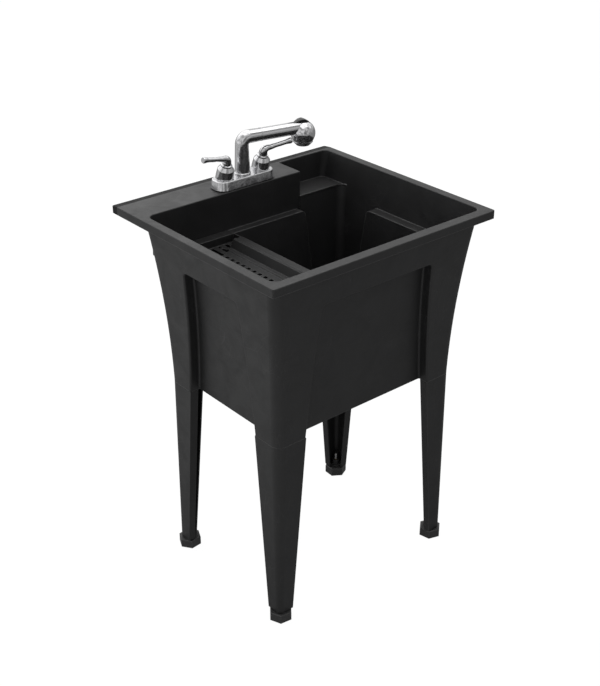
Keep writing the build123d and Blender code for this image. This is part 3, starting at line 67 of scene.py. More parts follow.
# Level directions in the photograph: away from the photographer and to the photographer's right.
AWAY = (0.6436, 0.7654)
RIGHTWARD = (0.7654, -0.6436)

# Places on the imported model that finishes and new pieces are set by.
DRAIN_AXIS = (0.0, -35.0 * MM)
RIM_UNDERSIDE = 844.5 * MM
BACK_STRIP_FRONT = 256.2 * MM

# How near two points are to be merged, how near a point is to lie on a wall, and the turn under
# which an edge looks smooth.
MERGE_DISTANCE = 0.001 * MM
WALL_TOLERANCE = 0.05 * MM
SMOOTH_ANGLE = math.radians(35.0)


class Corner(Enum):
    """The sink's four corners, with the back at the wall."""

    FRONT_LEFT = "front_left"
    FRONT_RIGHT = "front_right"
    REAR_LEFT = "rear_left"
    REAR_RIGHT = "rear_right"


# Shader building blocks


class Graph:
    """A node tree that is filled one node at a time."""

    def __init__(self, tree: bpy.types.NodeTree) -> None:
        """Wrap a tree.

        Args:
            tree: The node tree of a material, a world or a group.
        """
        self.tree = tree

    def add(self, kind: str, inputs: dict[str | int, object] | None = None,
            **settings: object) -> bpy.types.Node:
        """Add a node.

        Args:
            kind: The node's type name without its ShaderNode prefix.
            inputs: A value, or an output socket to wire in, for each input by its name or place.
            **settings: Properties of the node itself.

        Returns:
            The new node.
        """
        prefix = "" if kind.startswith("NodeGroup") else "ShaderNode"
        node = self.tree.nodes.new(prefix + kind)
        for name, value in settings.items():
            setattr(node, name, value)
        for name, value in (inputs or {}).items():
            self.feed(node, name, value)
        return node

    def feed(self, node: bpy.types.Node, name: str | int, value: object) -> None:
        """Set an input, or wire an output socket into it.

        Args:
            node: The node that has the input.
            name: The input's name or place.
            value: A plain value or an output socket.
        """
        target = node.inputs[name]
        if isinstance(value, bpy.types.NodeSocket):
            self.tree.links.new(value, target)
        elif target.type == "RGBA" and len(value) == 3:
            target.default_value = (*value, 1.0)
        else:
            target.default_value = value

    def calc(self, operation: str, first: object, second: object = 0.0,
             clamp: bool = False) -> bpy.types.NodeSocket:
        """Add a node of arithmetic and return its result.

        Args:
            operation: The operation's name, such as MULTIPLY.
            first: The first number or socket.
            second: The second number or socket.
            clamp: Whether the result is kept from 0 to 1.

        Returns:
            The output socket.
        """
        node = self.add("Math", {0: first, 1: second}, operation=operation, use_clamp=clamp)
        return node.outputs["Value"]

    def place(self) -> bpy.types.NodeSocket:
        """Return the socket that gives a point's place on the object."""
        return self.add("TexCoord").outputs["Object"]

    def parts(self, vector: bpy.types.NodeSocket) -> bpy.types.NodeOutputs:
        """Return the sockets that give a vector's X, Y and Z."""
        return self.add("SeparateXYZ", {"Vector": vector}).outputs

    def level_squares(self, parts: bpy.types.NodeOutputs) -> bpy.types.NodeSocket:
        """Return the square of a vector's level length, from its X and Y."""
        return self.calc("ADD", self.calc("POWER", parts["X"], 2.0),
                         self.calc("POWER", parts["Y"], 2.0))

    def noise(self, place: bpy.types.NodeSocket, scale: object, detail: float = 2.0,
              roughness: float = 0.5, distortion: float = 0.0) -> bpy.types.NodeSocket:
        """Add a cloudy noise.

        Args:
            place: The place that it is read at.
            scale: Its waves in a metre, as a number or a socket.
            detail: How many sets of finer waves lie on them.
            roughness: Height of each finer set against the one before.
            distortion: How far the waves are pulled out of shape.

        Returns:
            The socket of its height from 0 to 1.
        """
        inputs = {"Vector": place, "Scale": scale, "Detail": detail, "Roughness": roughness,
                  "Distortion": distortion}
        return self.add("TexNoise", inputs).outputs[0]

    def span(self, value: bpy.types.NodeSocket, low: float, high: float, start: float = 0.0,
             end: float = 1.0) -> bpy.types.NodeSocket:
        """Stretch a range of values to another range.

        Args:
            value: The socket to read.
            low: The value that becomes start.
            high: The value that becomes end.
            start: The new low value.
            end: The new high value.

        Returns:
            The output socket.
        """
        ends = {"From Min": low, "From Max": high, "To Min": start, "To Max": end}
        return self.add("MapRange", {"Value": value, **ends}).outputs["Result"]

    def blend(self, mask: object, first: object, second: object) -> bpy.types.NodeSocket:
        """Mix two colours by a mask.

        Args:
            mask: The share of the second colour.
            first: The first colour or socket.
            second: The second colour or socket.

        Returns:
            The colour socket.
        """
        factor, colour_a, colour_b, colour_out = 0, 6, 7, 2
        node = self.add("Mix", {factor: mask, colour_a: first, colour_b: second}, data_type="RGBA")
        return node.outputs[colour_out]


def effect_group(name: str, inputs: dict[str, float],
                 outputs: dict[str, str]) -> tuple[Graph, bpy.types.NodeOutputs, bpy.types.Node]:
    """Start a shader node group with named sockets.

    Args:
        name: The group's name.
        inputs: The default of each number that it takes.
        outputs: The socket type of each result: Float or Vector.

    Returns:
        The group's graph, the sockets that give its inputs, and the node that takes its outputs.
    """
    tree = bpy.data.node_groups.new(name, "ShaderNodeTree")
    new_socket = tree.interface.new_socket
    for label, value in inputs.items():
        socket = new_socket(name=label, in_out="INPUT", socket_type="NodeSocketFloat")
        socket.default_value = value
    for label, kind in outputs.items():
        new_socket(name=label, in_out="OUTPUT", socket_type=f"NodeSocket{kind}")
    graph = Graph(tree)
    entry = graph.add("NodeGroupInput")
    leave = graph.add("NodeGroupOutput")
    return graph, entry.outputs, leave


class Effects:
    """The shared surface effects, each a node group that is built once."""

    # Waves in a metre of the noise of each mask that has a size of its own.
    PATCH_SCALE = 7.0
    SCRATCHED_SCALE = 11.0
    SPECK_SCALE = 420.0
    DRIFT_SCALE = 14.0

    # Where in a noise, or in a turn's cosine, each mask goes from none to full.
    EDGE_MASK_RANGE: Pair = (0.01, 0.16)
    PATCH_RANGE: Pair = (0.32, 0.68)
    SMUDGE_RANGE: Pair = (0.38, 0.7)
    SCRATCHED_RANGE: Pair = (0.5, 0.62)
    SPECK_RANGE: Pair = (0.45, 0.75)
    DRIFT_RANGE: Pair = (0.35, 0.7)
    UPWARD_RANGE: Pair = (0.55, 1.0)
    LINE_RANGE: Pair = (0.35, 0.65)

    # Scale and depth of the grain's pebbles against its fine noise.
    PEBBLE_SCALE = 0.7
    PEBBLE_DEPTH = 0.6

    # Scratches follow the edges of long cells: turn and stretch of each set of cells, their lean
    # and tilt, and how many there are in a metre.
    SCRATCH_SETS: tuple[Pair, ...] = ((0.5, 9.0), (2.1, 7.0))
    SCRATCH_LEAN = 0.3
    SCRATCH_TILT = 0.2
    SCRATCH_CELLS = 19.2
    SCRATCH_WIDTH = 0.012

    # Share of the noise's scale along each axis, which draws brushed lines out along Y.
    BRUSH_STRETCH = (1.0, 0.03, 1.0)

    def __init__(self) -> None:
        """Build every group."""
        self.edge_wear_and_highlight = self._edge_wear_and_highlight()
        self.grain = self._grain()
        self.handling = self._handling()
        self.dust = self._dust()
        self.turning = self._turning()
        self.brushing = self._brushing()

    def _edge_wear_and_highlight(self) -> bpy.types.NodeTree:
        """Build the group that rounds edges and masks them, for edge wear and for painted edge
        highlights.

        Returns:
            The node group.
        """
        graph, given, leave = effect_group("edge_wear_and_highlight", {"Radius": MM},
                                           {"Mask": "Float", "Normal": "Vector"})
        rounded = graph.add("Bevel", {"Radius": given["Radius"]}, samples=6).outputs["Normal"]
        flat = graph.add("NewGeometry").outputs["Normal"]
        facing = graph.add("VectorMath", {0: rounded, 1: flat}, operation="DOT_PRODUCT")
        away = graph.calc("SUBTRACT", 1.0, facing.outputs["Value"])
        graph.feed(leave, "Mask", graph.span(away, *self.EDGE_MASK_RANGE))
        graph.feed(leave, "Normal", rounded)
        return graph.tree

    def _grain(self) -> bpy.types.NodeTree:
        """Build the group that gives a moulded or cast skin its grain.

        Returns:
            The node group.
        """
        graph, given, leave = effect_group("grain", {"Scale": 900.0},
                                           {"Height": "Float", "Mask": "Float"})
        place = graph.place()
        scale = given["Scale"]
        fine = graph.noise(place, scale, roughness=0.55)
        coarse = graph.calc("MULTIPLY", scale, self.PEBBLE_SCALE)
        pebbles = graph.add("TexVoronoi", {"Vector": place, "Scale": coarse}, feature="SMOOTH_F1")
        sunk = graph.calc("MULTIPLY", pebbles.outputs["Distance"], self.PEBBLE_DEPTH)
        broad = graph.noise(place, self.PATCH_SCALE, detail=3.0, roughness=0.6)
        graph.feed(leave, "Height", graph.calc("SUBTRACT", fine, sunk))
        graph.feed(leave, "Mask", graph.span(broad, *self.PATCH_RANGE))
        return graph.tree

    def _handling(self) -> bpy.types.NodeTree:
        """Build the group that gives smudges and hairline scratches.

        Returns:
            The node group.
        """
        graph, given, leave = effect_group("handling", {"Scale": 40.0},
                                           {"Smudge": "Float", "Scratch": "Float"})
        place = graph.place()
        cloud = graph.noise(place, given["Scale"], detail=4.0, roughness=0.65, distortion=0.6)
        graph.feed(leave, "Smudge", graph.span(cloud, *self.SMUDGE_RANGE))
        lines = None
        for turn, stretch in self.SCRATCH_SETS:
            turned_by = (self.SCRATCH_TILT, turn * self.SCRATCH_LEAN, turn)
            spin = graph.add("Mapping", {"Vector": place, "Rotation": turned_by,
                                         "Scale": (stretch, 1.0, 1.0)}).outputs[0]
            cells = graph.add("TexVoronoi", {"Vector": spin, "Scale": self.SCRATCH_CELLS},
                              feature="DISTANCE_TO_EDGE")
            hair = graph.span(cells.outputs["Distance"], 0.0, self.SCRATCH_WIDTH, 1.0, 0.0)
            lines = hair if lines is None else graph.calc("MAXIMUM", lines, hair)
        patches = graph.noise(place, self.SCRATCHED_SCALE)
        scratched = graph.span(patches, *self.SCRATCHED_RANGE)
        graph.feed(leave, "Scratch", graph.calc("MULTIPLY", lines, scratched))
        return graph.tree

    def _dust(self) -> bpy.types.NodeTree:
        """Build the group that masks dust on faces that look up.

        Returns:
            The node group.
        """
        graph, given, leave = effect_group("dust", {"Amount": 0.3}, {"Mask": "Float"})
        upward = graph.parts(graph.add("NewGeometry").outputs["Normal"])["Z"]
        place = graph.place()
        specks = graph.noise(place, self.SPECK_SCALE, detail=3.0, roughness=0.7)
        drifts = graph.noise(place, self.DRIFT_SCALE, detail=3.0)
        cover = graph.calc("MULTIPLY", graph.span(specks, *self.SPECK_RANGE),
                           graph.span(drifts, *self.DRIFT_RANGE))
        level = graph.calc("MULTIPLY", graph.span(upward, *self.UPWARD_RANGE), cover)
        graph.feed(leave, "Mask", graph.calc("MULTIPLY", level, given["Amount"], clamp=True))
        return graph.tree

    def _turning(self) -> bpy.types.NodeTree:
        """Build the group that gives the fine rings that a lathe leaves round an upright axis.

        Returns:
            The node group.
        """
        axis_and_pitch = {"Centre X": 0.0, "Centre Y": 0.0, "Pitch": 0.4 * MM}
        graph, given, leave = effect_group("turning", axis_and_pitch,
                                           {"Height": "Float", "Mask": "Float"})
        place = graph.place()
        axis = graph.add("CombineXYZ", {"X": given["Centre X"], "Y": given["Centre Y"]}).outputs[0]
        offset = graph.add("VectorMath", {0: place, 1: axis}, operation="SUBTRACT").outputs[0]
        parts = graph.parts(offset)
        across = graph.calc("ADD", graph.calc("SQRT", graph.level_squares(parts)), parts["Z"])
        steps = graph.calc("DIVIDE", across, given["Pitch"])
        lines = graph.add("TexNoise", {"W": steps, "Scale": 1.0, "Detail": 3.0, "Roughness": 0.7},
                          noise_dimensions="1D")
        graph.feed(leave, "Height", lines.outputs[0])
        graph.feed(leave, "Mask", graph.span(lines.outputs[0], *self.LINE_RANGE))
        return graph.tree

    def _brushing(self) -> bpy.types.NodeTree:
        """Build the group that gives straight brushed lines.

        Returns:
            The node group.
        """
        graph, given, leave = effect_group("brushing", {"Scale": 900.0},
                                           {"Height": "Float", "Mask": "Float"})
        drawn = graph.add("Mapping", {"Vector": graph.place(), "Scale": self.BRUSH_STRETCH})
        lines = graph.noise(drawn.outputs[0], given["Scale"], detail=3.0)
        graph.feed(leave, "Height", lines)
        graph.feed(leave, "Mask", graph.span(lines, *self.LINE_RANGE))
        return graph.tree


class Surface:
    """A material whose nodes end in one metal-or-plastic shader."""

    def __init__(self, name: str) -> None:
        """Start a material.

        Args:
            name: The material's name.
        """
        self.material = bpy.data.materials.new(name)
        self.material.use_nodes = True
        self.graph = Graph(self.material.node_tree)
        self.shader = self.material.node_tree.nodes["Principled BSDF"]

    def use(self, tree: bpy.types.NodeTree, **inputs: object) -> dict[str, bpy.types.NodeSocket]:
        """Place a shared effect in this material.

        Args:
            tree: The effect's node group.
            **inputs: Its numbers, with underscores for spaces.

        Returns:
            The group's output sockets by name.
        """
        node = self.graph.add("Group", node_tree=tree)
        for name, value in inputs.items():
            self.graph.feed(node, name.replace("_", " "), value)
        return {socket.name: socket for socket in node.outputs}

    def set(self, **inputs: object) -> None:
        """Set or wire the shader's own inputs.

        Args:
            **inputs: A value or a socket for each input, with underscores for spaces.
        """
        for name, value in inputs.items():
            self.graph.feed(self.shader, name.replace("_", " "), value)

    def tint(self, share: float, mask: bpy.types.NodeSocket, first: object,
             second: object) -> bpy.types.NodeSocket:
        """Mix a share of a second colour into a first where a mask says so.

        Args:
            share: How much of the second colour shows where the mask is full.
            mask: The mask.
            first: The first colour or socket.
            second: The second colour.

        Returns:
            The colour socket.
        """
        return self.graph.blend(self.graph.calc("MULTIPLY", mask, share), first, second)

    def emboss(self, height: bpy.types.NodeSocket, depth: float,
               under: bpy.types.NodeSocket) -> None:
        """Give the shader a bumpy normal.

        Args:
            height: The height from 0 to 1.
            depth: What a height of 1 is, in metres.
            under: The normal that the bumps stand on.
        """
        bump = self.graph.add("Bump", {"Height": height, "Distance": depth, "Normal": under})
        self.set(Normal=bump.outputs["Normal"])


def lighter(tone: Colour, times: float) -> Colour:
    """Return a colour made lighter or darker by a factor, at most white."""
    return tuple(min(1.0, times * part) for part in tone)


@dataclass(frozen=True)
class MouldedPlastic:
    """Injection-moulded plastic with a fine grain.

    Attributes:
        tone: The body colour.
        worn_and_highlight: The paler colour of scratches and of the edges, which is partly wear and
            partly a painted highlight along the rounded edges.
        sheen: Roughness where the skin is glossiest.
        dullness: Roughness where the skin is dullest.
        grain: Height of the grain.
        grain_scale: Grains in a metre.
        edge: Radius of the moulded edges.
        dusting: Share of dust on faces that look up.
        matte_shaded_from: Y beyond which the top skin is a matte band whose colour is darkened as
            painted shade, or None.
    """

    tone: Colour
    worn_and_highlight: Colour
    sheen: float = 0.42
    dullness: float = 0.56
    grain: float = 0.04 * MM
    grain_scale: float = 900.0
    edge: float = 1.2 * MM
    dusting: float = 0.1
    matte_shaded_from: float | None = None

    # Smudges in a metre, and how strongly each effect shows.
    MARK_SCALE: ClassVar[float] = 18.0
    PATCH_LIFT: ClassVar[float] = 1.18
    PATCH_SHARE: ClassVar[float] = 0.35
    WEAR_AND_HIGHLIGHT_LEVELS: ClassVar[Pair] = (0.55, 1.0)
    WEAR_AND_HIGHLIGHT_SHARE: ClassVar[float] = 0.85
    SCRATCH_SHARE: ClassVar[float] = 0.18
    DUST_TONE: ClassVar[Colour] = (0.32, 0.31, 0.29)
    DUST_ROUGHNESS: ClassVar[float] = 0.4
    BAND_PAINTED_SHADE: ClassVar[float] = 0.6
    BAND_ROUGHNESS: ClassVar[float] = 0.4

    def material(self, name: str, effects: Effects) -> bpy.types.Material:
        """Make the finished material.

        Args:
            name: The material's name.
            effects: The shared effects.

        Returns:
            The material.
        """
        surface = Surface(name)
        graph = surface.graph
        edge = surface.use(effects.edge_wear_and_highlight, Radius=self.edge)
        grain = surface.use(effects.grain, Scale=self.grain_scale)
        marks = surface.use(effects.handling, Scale=self.MARK_SCALE)
        dust = surface.use(effects.dust, Amount=self.dusting)
        # Edges are tinted towards the paler colour: partly wear, partly a painted highlight along
        # the rounded edges.
        rubbed_and_highlit = graph.calc("MULTIPLY", edge["Mask"],
                            graph.span(grain["Mask"], 0.0, 1.0, *self.WEAR_AND_HIGHLIGHT_LEVELS))
        paler = lighter(self.tone, self.PATCH_LIFT)
        shade = surface.tint(self.PATCH_SHARE, grain["Mask"], self.tone, paler)
        shade = surface.tint(self.WEAR_AND_HIGHLIGHT_SHARE, rubbed_and_highlit, shade, self.worn_and_highlight)
        shade = surface.tint(self.SCRATCH_SHARE, marks["Scratch"], shade, self.worn_and_highlight)
        shade = graph.blend(dust["Mask"], shade, self.DUST_TONE)
        rough = graph.span(marks["Smudge"], 0.0, 1.0, self.sheen, self.dullness)
        dull = graph.calc("MULTIPLY", dust["Mask"], self.DUST_ROUGHNESS)
        rough = graph.calc("ADD", rough, dull, clamp=True)
        # Behind that Y the top skin is made rougher and painted darker: painted shade that stands
        # for the reflection that the back strip's tilt turns away.
        if self.matte_shaded_from is not None:
            place = graph.parts(graph.place())
            band = graph.calc("MULTIPLY", graph.calc("GREATER_THAN", place["Y"], self.matte_shaded_from),
                              graph.calc("GREATER_THAN", place["Z"], RIM_UNDERSIDE))
            shade = surface.tint(self.BAND_PAINTED_SHADE, band, shade, (0.0, 0.0, 0.0))
            dull = graph.calc("MULTIPLY", band, self.BAND_ROUGHNESS)
            rough = graph.calc("ADD", rough, dull, clamp=True)
        surface.set(Base_Color=shade, Roughness=rough)
        surface.emboss(grain["Height"], self.grain, edge["Normal"])
        return surface.material


@dataclass(frozen=True)
class Plating:
    """Polished chrome plating on metal or plastic.

    Attributes:
        tone: The colour of the reflection.
        polish: Roughness of clean plating.
        film: Roughness where water film or fingers have dulled it.
        ripple: Height of the slow waves in the casting under it.
        haze: Share of the plating that scatters light where water film or fingers have dulled it.
        clean_haze: Share of that haze on clean plating.
        edge: Radius of its edges.
    """

    tone: Colour
    polish: float = 0.1
    film: float = 0.2
    ripple: float = 0.16 * MM
    haze: float = 0.12
    clean_haze: float = 0.4
    edge: float = 0.5 * MM

    # Smudges and waves in a metre, and how strongly each effect shows.
    MARK_SCALE: ClassVar[float] = 70.0
    WAVE_SCALE: ClassVar[float] = 95.0
    FILM_TONE: ClassVar[float] = 0.9
    FILM_SHARE: ClassVar[float] = 0.35
    SCRATCH_ROUGHNESS: ClassVar[float] = 0.12

    def material(self, name: str, effects: Effects) -> bpy.types.Material:
        """Make the finished material.

        Args:
            name: The material's name.
            effects: The shared effects.

        Returns:
            The material.
        """
        surface = Surface(name)
        graph = surface.graph
        edge = surface.use(effects.edge_wear_and_highlight, Radius=self.edge)
        marks = surface.use(effects.handling, Scale=self.MARK_SCALE)
        waves = graph.noise(graph.place(), self.WAVE_SCALE, detail=1.0)
        dulled_tone = lighter(self.tone, self.FILM_TONE)
        shade = surface.tint(self.FILM_SHARE, marks["Smudge"], self.tone, dulled_tone)
        rough = graph.span(marks["Smudge"], 0.0, 1.0, self.polish, self.film)
        hairs = graph.calc("MULTIPLY", marks["Scratch"], self.SCRATCH_ROUGHNESS)
        clean, dulled = 1.0 - self.clean_haze * self.haze, 1.0 - self.haze
        metal = graph.span(marks["Smudge"], 0.0, 1.0, clean, dulled)
        surface.set(Base_Color=shade, Metallic=metal, Roughness=graph.calc("ADD", rough, hairs))
        surface.emboss(waves, self.ripple, edge["Normal"])
        return surface.material


@dataclass(frozen=True)
class TurnedMetal:
    """Metal turned round an upright axis, such as brass or steel.

    Attributes:
        tone: The metal's colour.
        tarnish: Its darker colour in patches.
        centre: X and Y of the axis.
        pitch: Distance between tool marks.
        roughness: Roughness of the cut surface.
    """

    tone: Colour
    tarnish: Colour
    centre: Pair
    pitch: float = 0.4 * MM
    roughness: float = 0.3

    # Radius of its edges, smudges in a metre, and how strongly each effect shows.
    EDGE: ClassVar[float] = 0.4 * MM
    MARK_SCALE: ClassVar[float] = 60.0
    TARNISH_SHARE: ClassVar[float] = 0.7
    EDGE_LIFT: ClassVar[float] = 1.25
    EDGE_SHARE: ClassVar[float] = 0.4
    ROUGHNESS_LEVELS: ClassVar[Pair] = (0.75, 1.3)
    RING_DEPTH: ClassVar[float] = 0.02 * MM

    def material(self, name: str, effects: Effects) -> bpy.types.Material:
        """Make the finished material.

        Args:
            name: The material's name.
            effects: The shared effects.

        Returns:
            The material.
        """
        surface = Surface(name)
        edge = surface.use(effects.edge_wear_and_highlight, Radius=self.EDGE)
        rings = surface.use(effects.turning, Centre_X=self.centre[0], Centre_Y=self.centre[1],
                            Pitch=self.pitch)
        marks = surface.use(effects.handling, Scale=self.MARK_SCALE)
        shade = surface.tint(self.TARNISH_SHARE, marks["Smudge"], self.tone, self.tarnish)
        bright = lighter(self.tone, self.EDGE_LIFT)
        shade = surface.tint(self.EDGE_SHARE, edge["Mask"], shade, bright)
        smooth, rough = (self.roughness * level for level in self.ROUGHNESS_LEVELS)
        surface.set(Base_Color=shade, Metallic=1.0,
                    Roughness=surface.graph.span(rings["Mask"], 0.0, 1.0, smooth, rough))
        surface.emboss(rings["Height"], self.RING_DEPTH, edge["Normal"])
        return surface.material


@dataclass(frozen=True)
class DrawnMetal:
    """Plated steel or cast brass with straight fine lines.

    Attributes:
        tone: The metal's colour.
        dull: The colour of its duller patches.
        roughness: Middle roughness.
        line_scale: Lines in a metre.
    """

    tone: Colour
    dull: Colour
    roughness: float = 0.32
    line_scale: float = 900.0

    # Radius of its edges, smudges in a metre, and how strongly each effect shows.
    EDGE: ClassVar[float] = 0.4 * MM
    MARK_SCALE: ClassVar[float] = 50.0
    ROUGHNESS_LEVELS: ClassVar[Pair] = (0.8, 1.25)
    LINE_DEPTH: ClassVar[float] = 0.01 * MM

    def material(self, name: str, effects: Effects) -> bpy.types.Material:
        """Make the finished material.

        Args:
            name: The material's name.
            effects: The shared effects.

        Returns:
            The material.
        """
        surface = Surface(name)
        edge = surface.use(effects.edge_wear_and_highlight, Radius=self.EDGE)
        lines = surface.use(effects.brushing, Scale=self.line_scale)
        marks = surface.use(effects.handling, Scale=self.MARK_SCALE)
        shade = surface.graph.blend(marks["Smudge"], self.tone, self.dull)
        smooth, rough = (self.roughness * level for level in self.ROUGHNESS_LEVELS)
        surface.set(Base_Color=shade, Metallic=1.0,
                    Roughness=surface.graph.span(lines["Mask"], 0.0, 1.0, smooth, rough))
        surface.emboss(lines["Height"], self.LINE_DEPTH, edge["Normal"])
        return surface.material


@dataclass(frozen=True)
class Rubber:
    """Moulded rubber, dull and slightly bloomed.

    Attributes:
        tone: The rubber's colour.
        bloom: The grey of its bloom.
        sheen: Roughness where the skin is glossiest.
        dullness: Roughness where the skin is dullest.
    """

    tone: Colour
    bloom: Colour
    sheen: float = 0.68
    dullness: float = 0.85

    # Radius of its edges, its grain, smudges in a metre, and how strongly each effect shows.
    EDGE: ClassVar[float] = 0.6 * MM
    GRAIN_SCALE: ClassVar[float] = 1400.0
    GRAIN: ClassVar[float] = 0.05 * MM
    MARK_SCALE: ClassVar[float] = 45.0
    BLOOM_SHARE: ClassVar[float] = 0.45
    REFLECTANCE: ClassVar[float] = 0.35

    def material(self, name: str, effects: Effects) -> bpy.types.Material:
        """Make the finished material.

        Args:
            name: The material's name.
            effects: The shared effects.

        Returns:
            The material.
        """
        surface = Surface(name)
        edge = surface.use(effects.edge_wear_and_highlight, Radius=self.EDGE)
        grain = surface.use(effects.grain, Scale=self.GRAIN_SCALE)
        marks = surface.use(effects.handling, Scale=self.MARK_SCALE)
        shade = surface.tint(self.BLOOM_SHARE, marks["Smudge"], self.tone, self.bloom)
        rough = surface.graph.span(grain["Mask"], 0.0, 1.0, self.sheen, self.dullness)
        surface.set(Base_Color=shade, Roughness=rough, Specular_IOR_Level=self.REFLECTANCE)
        surface.emboss(grain["Height"], self.GRAIN, edge["Normal"])
        return surface.material


# Studio


def looking(place: Point, look: Vector) -> Matrix:
    """Return the matrix of a lamp or camera at a place that looks in a direction."""
    return Matrix.Translation(place) @ look.to_track_quat("-Z", "Y").to_matrix().to_4x4()


@dataclass
class Softbox:
    """A square lamp that looks at a point.

    Attributes:
        name: The lamp's name.
        place: Where it hangs.
        aim: The point that it faces.
        side: Side of its square face.
        power: Its power in watts.
    """

    name: str
    place: Point
    aim: Point
    side: float
    power: float

    def build(self) -> None:
        """Hang the lamp."""
        data = bpy.data.lights.new(self.name, "AREA")
        data.shape = "SQUARE"
        data.size = self.side
        data.energy = self.power
        lamp = bpy.data.objects.new(self.name, data)
        lamp.matrix_world = looking(self.place, Vector(self.aim) - Vector(self.place))
        bpy.context.scene.collection.objects.link(lamp)


@dataclass(frozen=True)
class Surround:
    """How bright the studio is on each side of the object, as the photographer sees the sides.

    Attributes:
        left: Brightness on the photographer's left.
        right: Brightness on the photographer's right.
        near: Brightness behind the photographer.
        away: Brightness behind the object.
        middle: Brightness overhead, or right under the object for the floor.
    """

    left: float
    right: float
    near: float
    away: float
    middle: float

    def side_tone(self, graph: Graph, across: bpy.types.NodeSocket,
                  along: bpy.types.NodeSocket) -> bpy.types.NodeSocket:
        """Weigh the four sides by the squares of a direction's two level parts.

        Args:
            graph: The graph to add to.
            across: The direction's part along X.
            along: The direction's part along Y.

        Returns:
            The brightness socket.
        """
        tone = None
        pairs = ((RIGHTWARD, self.left, self.right), (AWAY, self.near, self.away))
        for heading, behind, ahead in pairs:
            part = graph.calc("ADD", graph.calc("MULTIPLY", across, heading[0]),
                              graph.calc("MULTIPLY", along, heading[1]))
            level = graph.span(graph.calc("GREATER_THAN", part, 0.0), 0.0, 1.0, behind, ahead)
            share = graph.calc("MULTIPLY", level, graph.calc("MULTIPLY", part, part))
            tone = share if tone is None else graph.calc("ADD", tone, share)
        return tone


